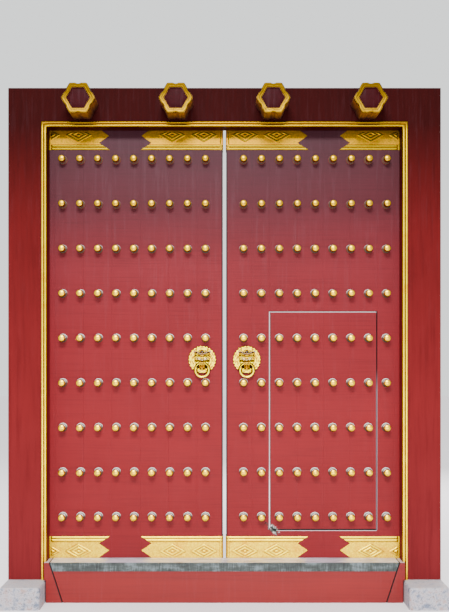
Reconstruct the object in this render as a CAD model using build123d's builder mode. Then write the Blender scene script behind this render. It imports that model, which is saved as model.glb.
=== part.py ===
from build123d import *
import os
from math import atan, cos, degrees, pi

# Double gate of solid planks in its timber frame, in millimetres, +Z up.
# X runs along the wall and +Y goes into the building. The origin is on the ground,
# in the middle of the doorway and in the plane of the jambs' front faces.

# Doorway and frame timbers
doorway_width = 2950  # between the jambs' inner faces
doorway_height = 3934  # ground to the lintel's underside
jamb_width = 320
frame_depth = 130
lintel_height = 324
jamb_tenon_width = 160
jamb_tenon_thick = 40
jamb_tenon_height = 90
foot_tenon_width = 120
foot_tenon_height = 25
tenon_fit = 0.5  # clearance round every tenon

# Gilded moulding of two reeds round the doorway
moulding_back = 6  # strip that carries the reeds
reed_radius = 11.5

# Pillow stones under the jambs
stone_height = 178
stone_width = 315
stone_front = 300  # how far the stone stands out in front of the jambs
stone_back = 330
stone_inset = 5  # the stone's inner face lies this far outside the jamb's
stone_arris = 24

# Threshold with its lift-out board
threshold_height = 330
threshold_front = 60
threshold_back = 127
board_end = 32  # along its top the lift-out board stops this far inside the jambs
board_slope = 108  # the board is this much narrower at each end of its foot
board_gap = 6
cheek_gap = 8  # between cheek and pillow stone
cheek_jamb_gap = 0.5
cheek_lip = 13  # overlap of the cheek in front of the moulding
tongue_length = 25
tongue_thick = 30
tongue_front = 20
tongue_fit = 0.5
cap_sheet = 2.5
cap_front_flange = 70
cap_back_flange = 30

# Leaves
leaf_bottom = 275
leaf_overlap = 76  # the leaves reach this far above the lintel's underside
leaf_thick = 104
leaf_run = 3  # between the jambs' back and the leaves' metal wraps
wrap_sheet = 3
meeting_gap = 22
pivot_offset = 80  # pivot axis outside the jamb's inner face
pivot_stile_width = 125  # pivot stile's inner edge to the pivot axis
meeting_stile_width = 218
plank_count = 5
plank_joint = 0.5

# Pivots, shoes and sockets
top_pivot_radius = 42
top_pivot_length = 215
foot_pivot_radius = 40
pivot_run = 0.6  # radial clearance of a pivot in its bore
shoe_wall = 6
shoe_floor = 8
shoe_length = 90
shoe_fit = 0.2
socket_radius = 57
socket_height = 57
socket_sunk = 30
socket_floor = 15
socket_run = 0.3

# Pivot beam behind the lintel
beam_depth = 200
beam_lift = 12  # between the leaves' tops and the beam
beam_height = 218
beam_short = 35  # the beam stops this far inside the jambs' outer faces
beam_nose = 40

# Hexagonal pins that hold the pivot beam to the lintel
pin_count = 4
pin_inset = 295  # outer pins' middles from the doorway's edges
pin_rise = 181  # pins' middle above the lintel's underside
pin_flats = 240
pin_reach = 240
pin_blunt = 16
pin_flute_radius = 40
pin_flute_depth = 7
pin_rim = 38
pin_recess = 14
pin_tail_width = 90
pin_tail_height = 70
pin_tail_past = 70  # tail behind the pivot beam
wedge_width = 24
wedge_thick = 30
wedge_length = 180

# Studs: nine columns and nine rows on each leaf
stud_columns = 9
stud_drop = 376  # from row to row
stud_first = 160  # first column from the gate's centre line
stud_last = 191.8  # last column from the pivot's axis
stud_top = 323  # at least this much from the top row to the leaf's top edge
stud_bottom = 404  # bottom row above the leaf's bottom edge
stud_base_radius = 39
stud_neck_radius = 31
stud_tip_radius = 15
stud_neck = 72
stud_height = 100
stud_sides = 8

# Battens across the leaves' backs, one behind each row of studs
batten_height = 70
batten_proud = 25
batten_inset = 40  # batten's end from a stile's edge
batten_stop = 20  # and from the wicket's opening

# Wicket door in the right leaf
wicket_before = 84.8  # from the opening's inner edge to its first column of studs
wicket_after = 75.2  # from its last column to its outer edge
wicket_under = 113  # from the opening's foot to the bottom row
wicket_over = 229  # from its first row to its head
wicket_free_gap = 12
wicket_gap = 6
wicket_plank_count = 4
before_column_count = 2  # columns of studs before the wicket
wicket_column_count = 6
wicket_row_count = 5

# Wicket's straps and pintles
strap_foot = 301  # lowest strap above the opening's foot
strap_middle = 130  # middle strap above the opening's middle
strap_head = 117  # highest strap below the opening's head
strap_length = 470
strap_height = 56
strap_tip = 24
strap_sheet = 6
eye_radius = 15
eye_off = 1  # between the eye and the leaf's back
pintle_radius = 7
pintle_run = 0.4
pintle_plate = 140
pintle_shoulder = 14
pintle_seat = 0.3

# Metal wraps on the leaves' corners
wrap_height = 238
wrap_meeting_length = 693  # from the meeting edge to the tips of the zigzag
wrap_hinge_length = 587  # from the pivot's axis to the tips
wrap_tooth = 92
wrap_second_tip = 17  # the second tip stops this much short of the first
ridge_count = 2
ridge_width = 19
ridge_height = 4
ridge_pitch = 24
ridge_first = 11
lozenge_level = 126  # middle of the lozenges, from the wrap's bordered edge
lozenge_length = 194
lozenge_height = 106
lozenge_line = 7
lozenge_inset = 24  # from the outer line to the inner one
lozenge_relief = 3
lozenge_pitch = 267
lozenge_from_meeting = 159
lozenge_from_pivot = 323
meeting_lozenge_count = 2
hinge_lozenge_count = 1

# Knockers: a beast's face on a disc with a curled mane, and a ring through its jaws
knocker_x = 188
knocker_lift = 8  # above the middle between two rows of studs
mane_radius = 108
curl_count = 24
mane_curl_radius = 13
mane_thick = 12
face_radius = 84
face_thick = 22
ring_radius = 55
ring_bar = 12
ring_drop = 89  # ring's centre below the disc's
ring_stand = 38  # ring's middle plane in front of the leaf
bore_run = 0.4
muzzle_half = 25
muzzle_wall = 9
jaw_half = 30
jaw_drop = 36
jaw_thick = 52
nose_half = 34
nose_height = 17
nose_thick = 58
nose_lift = 20  # nose's underside above the bore's axis
brow_half = 56
brow_foot = 34
brow_height = 26
brow_thick = 40
horn_height = 22
eye_spread = 34
eye_rise = 6
eye_ball = 11
eye_thick = 36

# Crossbar on the left leaf's back, its two staples and the keeper on the right leaf
bar_lift = 123  # bar's middle above the row of studs under it
bar_height = 120
bar_thick = 70
bar_length = 1300
bar_end = 20  # drawn back, the bar's end is this far from the gate's centre line
bar_play = 1.5
bar_seat = 0.3
staple_places = (-120, -760)
keeper_place = 200
staple_plate_width = 110
staple_plate_height = 166
staple_sheet = 8
staple_width = 60
peg_radius = 15
peg_place = -711
peg_stand = 26
peg_fit = 0.2

# Places worked out from the sizes above
jamb_inner = doorway_width / 2
jamb_outer = jamb_inner + jamb_width
pivot_x = jamb_inner + pivot_offset
board_top_half = jamb_inner - board_end
leaf_top = doorway_height + leaf_overlap
beam_bottom = leaf_top + beam_lift
beam_half = jamb_outer - beam_short
pin_level = doorway_height + pin_rise
pivot_y = frame_depth + leaf_run + wrap_sheet + leaf_thick / 2
leaf_front = pivot_y - leaf_thick / 2
leaf_back = pivot_y + leaf_thick / 2
meeting_x = meeting_gap / 2 + wrap_sheet
stile_inner = pivot_x - pivot_stile_width
plank_start = meeting_x + meeting_stile_width
stone_inner = jamb_inner + stone_inset
pin_pitch = 2 * (jamb_inner - pin_inset) / (pin_count - 1)
pin_places = [(number - (pin_count - 1) / 2) * pin_pitch for number in range(pin_count)]
moulding_width = 4 * reed_radius
shoe_radius = foot_pivot_radius + shoe_fit + shoe_wall
shoe_foot = stone_height - socket_sunk + socket_floor + socket_run
stud_rows = 1 + int((leaf_top - stud_top - leaf_bottom - stud_bottom) / stud_drop + 0.01)
stud_pitch = (pivot_x - stud_last - stud_first) / (stud_columns - 1)
stud_levels = [leaf_bottom + stud_bottom + stud_drop * row for row in reversed(range(stud_rows))]
stud_places = [stud_first + stud_pitch * column for column in range(stud_columns)]
wicket_columns = range(before_column_count, before_column_count + wicket_column_count)
upper_levels = stud_levels[:-wicket_row_count]
wicket_levels = stud_levels[-wicket_row_count:]
wicket_inner = stud_places[wicket_columns[0]] - wicket_before
wicket_outer = stud_places[wicket_columns[-1]] + wicket_after
wicket_foot = stud_levels[-1] - wicket_under
wicket_head = wicket_levels[0] + wicket_over
knocker_level = (wicket_levels[0] + wicket_levels[1]) / 2 + knocker_lift
ring_level = knocker_level - ring_drop
bar_level = wicket_levels[1] + bar_lift
wrap_meeting_tip = meeting_x + wrap_meeting_length
wrap_hinge_tip = pivot_x - wrap_hinge_length
sides = (("left", -1), ("right", 1))
low = (Align.MIN, Align.MIN, Align.MIN)
foot = (Align.CENTER, Align.MIN, Align.MIN)


def front_plane(y):
    # An upright plane at depth y that faces the viewer, with its own axes along X and Z
    return Plane.XZ.offset(-y)


def span(side, near, far):
    # Lowest x and width of a stretch from near to far of the centre line, on either side
    return (near if side > 0 else -far), far - near


def plank_spans(near, far, count):
    # Planks of one width between near and far, with a hairline joint beside each
    width = (far - near - plank_joint * (count + 1)) / count
    starts = [near + plank_joint + number * (width + plank_joint) for number in range(count)]
    return [(start, start + width) for start in starts]


# Jambs, with a tenon up into the lintel and a stub down into the pillow stone
for name, side in sides:
    jamb_x = side * (jamb_inner + jamb_width / 2)
    with BuildPart() as jamb:
        with Locations((jamb_x, 0, stone_height)):
            Box(jamb_width, frame_depth, doorway_height - stone_height, align=foot)
        with Locations((jamb_x, (frame_depth - jamb_tenon_thick) / 2, doorway_height)):
            Box(jamb_tenon_width, jamb_tenon_thick, jamb_tenon_height, align=foot)
        with Locations((jamb_x, (frame_depth - jamb_tenon_thick) / 2, stone_height - foot_tenon_height)):
            Box(foot_tenon_width, jamb_tenon_thick, foot_tenon_height, align=foot)
    jamb.part.label = f"{name}_jamb"
    export_step(jamb.part, f"parts/{name}_jamb.step")

# Lintel, with mortises for the jambs' tenons and for the tails of the hexagonal pins
with BuildPart() as lintel:
    with Locations((0, 0, doorway_height)):
        Box(2 * jamb_outer, frame_depth, lintel_height, align=foot)
    for name, side in sides:
        jamb_x = side * (jamb_inner + jamb_width / 2)
        with Locations((jamb_x, (frame_depth - jamb_tenon_thick) / 2 - tenon_fit, doorway_height)):
            Box(
                jamb_tenon_width + 2 * tenon_fit,
                jamb_tenon_thick + 2 * tenon_fit,
                jamb_tenon_height + tenon_fit,
                align=foot,
                mode=Mode.SUBTRACT,
            )
    with BuildSketch(front_plane(0)):
        with Locations([(place, pin_level) for place in pin_places]):
            Rectangle(pin_tail_width + 2 * tenon_fit, pin_tail_height + 2 * tenon_fit)
    extrude(amount=-frame_depth, mode=Mode.SUBTRACT)
lintel.part.label = "lintel"
export_step(lintel.part, "parts/lintel.step")

# Beam behind the lintel, bored for the leaves' top pivots
with BuildPart() as beam:
    with Locations((0, frame_depth, beam_bottom)):
        Box(2 * beam_half, beam_depth, beam_height, align=foot)
    ends = beam.edges().filter_by(Axis.Z).group_by(Axis.Y)[-1]
    fillet(ends, radius=beam_nose)
    with BuildSketch(Plane.XY.offset(beam_bottom)):
        with Locations((-pivot_x, pivot_y), (pivot_x, pivot_y)):
            Circle(top_pivot_radius + pivot_run)
    extrude(amount=beam_height, mode=Mode.SUBTRACT)
    with BuildSketch(front_plane(frame_depth)):
        with Locations([(place, pin_level) for place in pin_places]):
            Rectangle(pin_tail_width + 2 * tenon_fit, pin_tail_height + 2 * tenon_fit)
    extrude(amount=-beam_depth, mode=Mode.SUBTRACT)
beam.part.label = "pivot_beam"
export_step(beam.part, "parts/pivot_beam.step")

# Upright mouldings, mitred at the top and standing on the pillow stones
for name, side in sides:
    near = side * jamb_inner
    far = side * (jamb_inner + moulding_width)
    with BuildPart() as moulding:
        with BuildSketch(Plane.XY.offset(stone_height)) as reeds:
            with Locations(((near + far) / 2, -moulding_back / 2)):
                Rectangle(moulding_width, moulding_back)
            with Locations(*[(near + side * reed_radius * step, -moulding_back) for step in (1, 3)]):
                Circle(reed_radius)
            with Locations(((near + far) / 2, moulding_width / 2)):
                Rectangle(2 * moulding_width, moulding_width, mode=Mode.SUBTRACT)
        extrude(amount=doorway_height + moulding_width - stone_height)
        with BuildSketch(front_plane(0)):
            Polygon(
                (near, doorway_height),
                (far, doorway_height + moulding_width),
                (near, doorway_height + moulding_width),
                align=None,
            )
        extrude(amount=moulding_back + reed_radius, mode=Mode.SUBTRACT)
    moulding.part.label = f"{name}_moulding"
    export_step(moulding.part, f"parts/{name}_moulding.step")

# Moulding under the pins, mitred to the upright ones
with BuildPart() as top_moulding:
    with BuildSketch(Plane.YZ.offset(-jamb_inner - moulding_width)) as reeds:
        with Locations((-moulding_back / 2, doorway_height + moulding_width / 2)):
            Rectangle(moulding_back, moulding_width)
        with Locations(*[(-moulding_back, doorway_height + reed_radius * step) for step in (1, 3)]):
            Circle(reed_radius)
        with Locations((moulding_width / 2, doorway_height + moulding_width / 2)):
            Rectangle(moulding_width, 2 * moulding_width, mode=Mode.SUBTRACT)
    extrude(amount=2 * (jamb_inner + moulding_width))
    with BuildSketch(front_plane(0)):
        for side in (-1, 1):
            Polygon(
                (side * jamb_inner, doorway_height),
                (side * (jamb_inner + moulding_width), doorway_height + moulding_width),
                (side * (jamb_inner + moulding_width), doorway_height),
                align=None,
            )
    extrude(amount=moulding_back + reed_radius, mode=Mode.SUBTRACT)
top_moulding.part.label = "top_moulding"
export_step(top_moulding.part, "parts/top_moulding.step")

# Hexagonal pins: fluted head with a raised rim, and a tail through lintel and beam
pin_radius = pin_flats / 2 / cos(pi / 6)
tail_length = frame_depth + beam_depth + pin_tail_past
wedge_y = frame_depth + beam_depth
for number, place in enumerate(pin_places, start=1):
    with BuildPart() as pin:
        with BuildSketch(front_plane(0)) as head:
            with Locations((place, pin_level)):
                RegularPolygon(pin_radius, 6)
            fillet(head.vertices(), radius=pin_blunt)
            with Locations((place, pin_level)):
                with PolarLocations(pin_flats / 2 + pin_flute_radius - pin_flute_depth, 6, start_angle=30):
                    Circle(pin_flute_radius, mode=Mode.SUBTRACT)
        extrude(amount=pin_reach)
        with BuildSketch(front_plane(-pin_reach)):
            with Locations((place, pin_level)):
                RegularPolygon(pin_radius - pin_rim / cos(pi / 6), 6)
        extrude(amount=-pin_recess, mode=Mode.SUBTRACT)
        with BuildSketch(front_plane(0)):
            with Locations((place, pin_level)):
                Rectangle(pin_tail_width, pin_tail_height)
        extrude(amount=-tail_length)
        with Locations((place, wedge_y - tenon_fit, pin_level)):
            Box(
                wedge_width + 2 * tenon_fit,
                wedge_thick + 2 * tenon_fit,
                pin_tail_height,
                align=(Align.CENTER, Align.MIN, Align.CENTER),
                mode=Mode.SUBTRACT,
            )
    pin.part.label = f"hexagon_pin_{number}"
    export_step(pin.part, f"parts/hexagon_pin_{number}.step")

# Wedges behind the beam, one through the tail of each pin
with BuildPart() as wedges:
    with Locations([(place, wedge_y, pin_level) for place in pin_places]):
        Box(wedge_width, wedge_thick, wedge_length, align=(Align.CENTER, Align.MIN, Align.CENTER))
wedges.part.label = "pin_wedges"
export_step(wedges.part, "parts/pin_wedges.step")

# Pillow stones, each with a stub mortise and a sinking for the iron socket
for name, side in sides:
    x0, width = span(side, stone_inner, stone_inner + stone_width)
    jamb_x = side * (jamb_inner + jamb_width / 2)
    with BuildPart() as stone:
        with Locations((x0, -stone_front, 0)):
            Box(width, stone_front + stone_back, stone_height, align=low)
        top_edges = stone.edges().group_by(Axis.Z)[-1]
        front_top = top_edges.sort_by(Axis.Y)[0]
        inner_top = top_edges.sort_by(Axis.X)[0 if side > 0 else -1]
        upright = stone.edges().filter_by(Axis.Z).group_by(Axis.Y)[0]
        front_inner = upright.sort_by(Axis.X)[0 if side > 0 else -1]
        fillet([front_top, inner_top, front_inner], radius=stone_arris)
        mortise_depth = foot_tenon_height + tenon_fit
        mortise_y = (frame_depth - jamb_tenon_thick) / 2 - tenon_fit
        with Locations((jamb_x, mortise_y, stone_height - mortise_depth)):
            Box(
                foot_tenon_width + 2 * tenon_fit,
                jamb_tenon_thick + 2 * tenon_fit,
                mortise_depth,
                align=foot,
                mode=Mode.SUBTRACT,
            )
        with BuildSketch(Plane.XY.offset(stone_height)):
            with Locations((side * pivot_x, pivot_y)):
                Circle(socket_radius + tenon_fit)
        extrude(amount=-socket_sunk, mode=Mode.SUBTRACT)
    stone.part.label = f"{name}_pillow_stone"
    export_step(stone.part, f"parts/{name}_pillow_stone.step")

# Iron sockets in the stones, and the iron shoes that turn in them
for name, side in sides:
    with BuildPart() as socket:
        with BuildSketch(Plane.XY.offset(stone_height - socket_sunk)):
            with Locations((side * pivot_x, pivot_y)):
                Circle(socket_radius)
        extrude(amount=socket_height)
        with BuildSketch(Plane.XY.offset(stone_height - socket_sunk + socket_floor)):
            with Locations((side * pivot_x, pivot_y)):
                Circle(shoe_radius + pivot_run)
        extrude(amount=socket_height - socket_floor, mode=Mode.SUBTRACT)
    socket.part.label = f"{name}_pivot_socket"
    export_step(socket.part, f"parts/{name}_pivot_socket.step")

    with BuildPart() as shoe:
        with BuildSketch(Plane.XY.offset(shoe_foot)):
            with Locations((side * pivot_x, pivot_y)):
                Circle(shoe_radius)
        extrude(amount=shoe_length)
        with BuildSketch(Plane.XY.offset(shoe_foot + shoe_floor)):
            with Locations((side * pivot_x, pivot_y)):
                Circle(foot_pivot_radius + shoe_fit)
        extrude(amount=shoe_length - shoe_floor, mode=Mode.SUBTRACT)
    shoe.part.label = f"{name}_pivot_shoe"
    export_step(shoe.part, f"parts/{name}_pivot_shoe.step")

# Threshold cheeks: fixed ends with a tongue along the sloping joint
board_foot_half = board_top_half - board_slope
slope = board_slope / threshold_height
for name, side in sides:
    cheek_x = jamb_inner - cheek_jamb_gap
    foot_x = stone_inner - cheek_gap
    lip_x = jamb_inner + cheek_lip
    lip_y = moulding_back + reed_radius + cheek_jamb_gap
    lip_z = stone_height + cheek_gap
    with BuildPart() as cheek:
        with BuildSketch(front_plane(threshold_back)):
            Polygon(
                (side * board_foot_half, 0),
                (side * foot_x, 0),
                (side * foot_x, lip_z),
                (side * cheek_x, lip_z),
                (side * cheek_x, threshold_height),
                (side * board_top_half, threshold_height),
                align=None,
            )
        extrude(amount=threshold_back + threshold_front)
        x0, width = span(side, cheek_x, lip_x)
        with Locations((x0, -threshold_front, lip_z)):
            Box(width, threshold_front - lip_y, threshold_height - lip_z, align=low)
        with BuildSketch(front_plane(tongue_front + tongue_thick)):
            Polygon(
                (side * (board_foot_half - tongue_length), 0),
                (side * board_foot_half, 0),
                (side * board_top_half, threshold_height),
                (side * (board_top_half - tongue_length), threshold_height),
                align=None,
            )
        extrude(amount=tongue_thick)
    cheek.part.label = f"{name}_threshold_cheek"
    export_step(cheek.part, f"parts/{name}_threshold_cheek.step")

# Lift-out board of the threshold, grooved at both ends over the cheeks' tongues
with BuildPart() as board:
    with BuildSketch(front_plane(threshold_back)):
        Polygon(
            (-board_foot_half + board_gap, 0),
            (board_foot_half - board_gap, 0),
            (board_top_half - board_gap, threshold_height),
            (-board_top_half + board_gap, threshold_height),
            align=None,
        )
    extrude(amount=threshold_back + threshold_front)
    groove = tongue_length + tongue_fit
    for side in (-1, 1):
        with BuildSketch(front_plane(tongue_front + tongue_thick + tongue_fit)):
            Polygon(
                (side * (board_foot_half - groove), 0),
                (side * board_foot_half, 0),
                (side * board_top_half, threshold_height),
                (side * (board_top_half - groove), threshold_height),
                align=None,
            )
        extrude(amount=tongue_thick + 2 * tongue_fit, mode=Mode.SUBTRACT)
board.part.label = "threshold_board"
export_step(board.part, "parts/threshold_board.step")

# Sheet cap folded over the board's top, cut off along the sloping joints
cap_top_half = board_top_half - board_gap
with BuildPart() as cap:
    with BuildSketch(Plane.YZ.offset(-board_top_half)):
        with Locations((-threshold_front - cap_sheet, threshold_height + cap_sheet)):
            Rectangle(
                threshold_front + threshold_back + 2 * cap_sheet,
                cap_sheet + cap_front_flange,
                align=(Align.MIN, Align.MAX),
            )
        with Locations((-threshold_front, threshold_height)):
            Rectangle(
                threshold_front + threshold_back + cap_sheet,
                cap_front_flange,
                align=(Align.MIN, Align.MAX),
                mode=Mode.SUBTRACT,
            )
        with Locations((threshold_back, threshold_height)):
            Rectangle(cap_sheet, cap_back_flange, align=(Align.MIN, Align.MAX))
    extrude(amount=2 * board_top_half)
    cut_height = cap_sheet + cap_front_flange
    with BuildSketch(front_plane(threshold_back + cap_sheet)):
        for side in (-1, 1):
            Polygon(
                (side * cap_top_half, threshold_height + cap_sheet),
                (side * cap_top_half, threshold_height),
                (side * (cap_top_half - slope * cap_front_flange), threshold_height - cap_front_flange),
                (side * board_top_half, threshold_height - cap_front_flange),
                (side * board_top_half, threshold_height + cap_sheet),
                align=None,
            )
    extrude(amount=threshold_front + threshold_back + 2 * cap_sheet, mode=Mode.SUBTRACT)
cap.part.label = "threshold_cap"
export_step(cap.part, "parts/threshold_cap.step")

# Stiles of both leaves: the meeting stile, and the pivot stile rounded about its axis
leaf_height = leaf_top - leaf_bottom
for name, side in sides:
    x0, width = span(side, meeting_x, plank_start)
    with BuildPart() as meeting_stile:
        with Locations((x0, leaf_front, leaf_bottom)):
            Box(width, leaf_thick, leaf_height, align=low)
    meeting_stile.part.label = f"{name}_meeting_stile"
    export_step(meeting_stile.part, f"parts/{name}_meeting_stile.step")

    x0, width = span(side, stile_inner, pivot_x)
    foot_pivot = leaf_bottom - shoe_foot - shoe_floor
    with BuildPart() as pivot_stile:
        with BuildSketch(Plane.XY.offset(leaf_bottom)):
            with Locations((x0, leaf_front)):
                Rectangle(width, leaf_thick, align=(Align.MIN, Align.MIN))
            with Locations((side * pivot_x, pivot_y)):
                Circle(leaf_thick / 2)
        extrude(amount=leaf_height)
        with BuildSketch(Plane.XY.offset(leaf_top)):
            with Locations((side * pivot_x, pivot_y)):
                Circle(top_pivot_radius)
        extrude(amount=top_pivot_length)
        with BuildSketch(Plane.XY.offset(leaf_bottom)):
            with Locations((side * pivot_x, pivot_y)):
                Circle(foot_pivot_radius)
        extrude(amount=-foot_pivot)
    pivot_stile.part.label = f"{name}_pivot_stile"
    export_step(pivot_stile.part, f"parts/{name}_pivot_stile.step")

# Left leaf's planks, edge to edge between its stiles
with BuildPart() as left_planks:
    for near, far in plank_spans(plank_start, stile_inner, plank_count):
        x0, width = span(-1, near, far)
        with Locations((x0, leaf_front, leaf_bottom)):
            Box(width, leaf_thick, leaf_height, align=low)
left_planks.part.label = "left_planks"
export_step(left_planks.part, "parts/left_planks.step")

# Right leaf's full-height planks on both sides of the wicket's opening
with BuildPart() as inner_plank:
    with Locations((plank_start + plank_joint, leaf_front, leaf_bottom)):
        Box(wicket_inner - plank_start - plank_joint, leaf_thick, leaf_height, align=low)
inner_plank.part.label = "right_inner_plank"
export_step(inner_plank.part, "parts/right_inner_plank.step")

with BuildPart() as outer_plank:
    with Locations((wicket_outer, leaf_front, leaf_bottom)):
        Box(stile_inner - wicket_outer - plank_joint, leaf_thick, leaf_height, align=low)
outer_plank.part.label = "right_outer_plank"
export_step(outer_plank.part, "parts/right_outer_plank.step")

# Right leaf's short planks over and under the wicket's opening
with BuildPart() as upper_planks:
    for near, far in plank_spans(wicket_inner, wicket_outer, wicket_plank_count):
        with Locations((near, leaf_front, wicket_head)):
            Box(far - near, leaf_thick, leaf_top - wicket_head, align=low)
upper_planks.part.label = "right_upper_planks"
export_step(upper_planks.part, "parts/right_upper_planks.step")

with BuildPart() as lower_planks:
    for near, far in plank_spans(wicket_inner, wicket_outer, wicket_plank_count):
        with Locations((near, leaf_front, leaf_bottom)):
            Box(far - near, leaf_thick, wicket_foot - leaf_bottom, align=low)
lower_planks.part.label = "right_lower_planks"
export_step(lower_planks.part, "parts/right_lower_planks.step")

# Wicket's planks
wicket_near = wicket_inner + wicket_free_gap
wicket_far = wicket_outer - wicket_gap
wicket_height = wicket_head - wicket_foot - 2 * wicket_gap
with BuildPart() as wicket_boards:
    for near, far in plank_spans(wicket_near - plank_joint, wicket_far + plank_joint, wicket_plank_count):
        with Locations((near, leaf_front, wicket_foot + wicket_gap)):
            Box(far - near, leaf_thick, wicket_height, align=low)
wicket_boards.part.label = "wicket_planks"
export_step(wicket_boards.part, "parts/wicket_planks.step")

# Battens across the backs; beside the wicket they are short
batten_low = (Align.MIN, Align.MIN, Align.CENTER)
batten_near = meeting_x + batten_inset
batten_far = pivot_x - batten_inset
with BuildPart() as left_battens:
    with Locations([(-batten_far, leaf_back, level) for level in stud_levels]):
        Box(batten_far - batten_near, batten_proud, batten_height, align=batten_low)
left_battens.part.label = "left_battens"
export_step(left_battens.part, "parts/left_battens.step")

with BuildPart() as right_battens:
    with Locations([(batten_near, leaf_back, level) for level in upper_levels]):
        Box(batten_far - batten_near, batten_proud, batten_height, align=batten_low)
    with Locations([(batten_near, leaf_back, level) for level in wicket_levels]):
        Box(wicket_inner - batten_stop - batten_near, batten_proud, batten_height, align=batten_low)
    with Locations([(wicket_outer + batten_stop, leaf_back, level) for level in wicket_levels]):
        Box(batten_far - wicket_outer - batten_stop, batten_proud, batten_height, align=batten_low)
right_battens.part.label = "right_battens"
export_step(right_battens.part, "parts/right_battens.step")

with BuildPart() as wicket_battens:
    with Locations([(wicket_near + batten_inset, leaf_back, level) for level in wicket_levels]):
        Box(wicket_far - wicket_near - 2 * batten_inset, batten_proud, batten_height, align=batten_low)
wicket_battens.part.label = "wicket_battens"
export_step(wicket_battens.part, "parts/wicket_battens.step")

# One stud: a flared foot, a slightly tapered neck and a domed tip, seated on the planks
with BuildPart() as stud:
    with BuildSketch(front_plane(leaf_front)):
        RegularPolygon(stud_base_radius, stud_sides)
    neck_slope = (stud_base_radius - stud_neck_radius) * cos(pi / stud_sides) / stud_neck
    extrude(amount=stud_neck, taper=degrees(atan(neck_slope)))
    with BuildSketch(front_plane(leaf_front - stud_neck)):
        RegularPolygon(stud_neck_radius, stud_sides)
    tip_length = stud_height - stud_neck
    tip_slope = (stud_neck_radius - stud_tip_radius) * cos(pi / stud_sides) / tip_length
    extrude(amount=tip_length, taper=degrees(atan(tip_slope)))

# Studs in rows, in three groups: the left leaf's, the right leaf's fixed ones, the wicket's
left_places = []
right_places = []
wicket_places = []
for level in stud_levels:
    for column, place in enumerate(stud_places):
        left_places.append((-place, 0, level))
        if level in wicket_levels and column in wicket_columns:
            wicket_places.append((place, 0, level))
        else:
            right_places.append((place, 0, level))

with BuildPart() as left_studs:
    with Locations(left_places):
        add(stud.part)
left_studs.part.label = "left_studs"
export_step(left_studs.part, "parts/left_studs.step")

with BuildPart() as right_studs:
    with Locations(right_places):
        add(stud.part)
right_studs.part.label = "right_studs"
export_step(right_studs.part, "parts/right_studs.step")

with BuildPart() as wicket_studs:
    with Locations(wicket_places):
        add(stud.part)
wicket_studs.part.label = "wicket_studs"
export_step(wicket_studs.part, "parts/wicket_studs.step")

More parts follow.
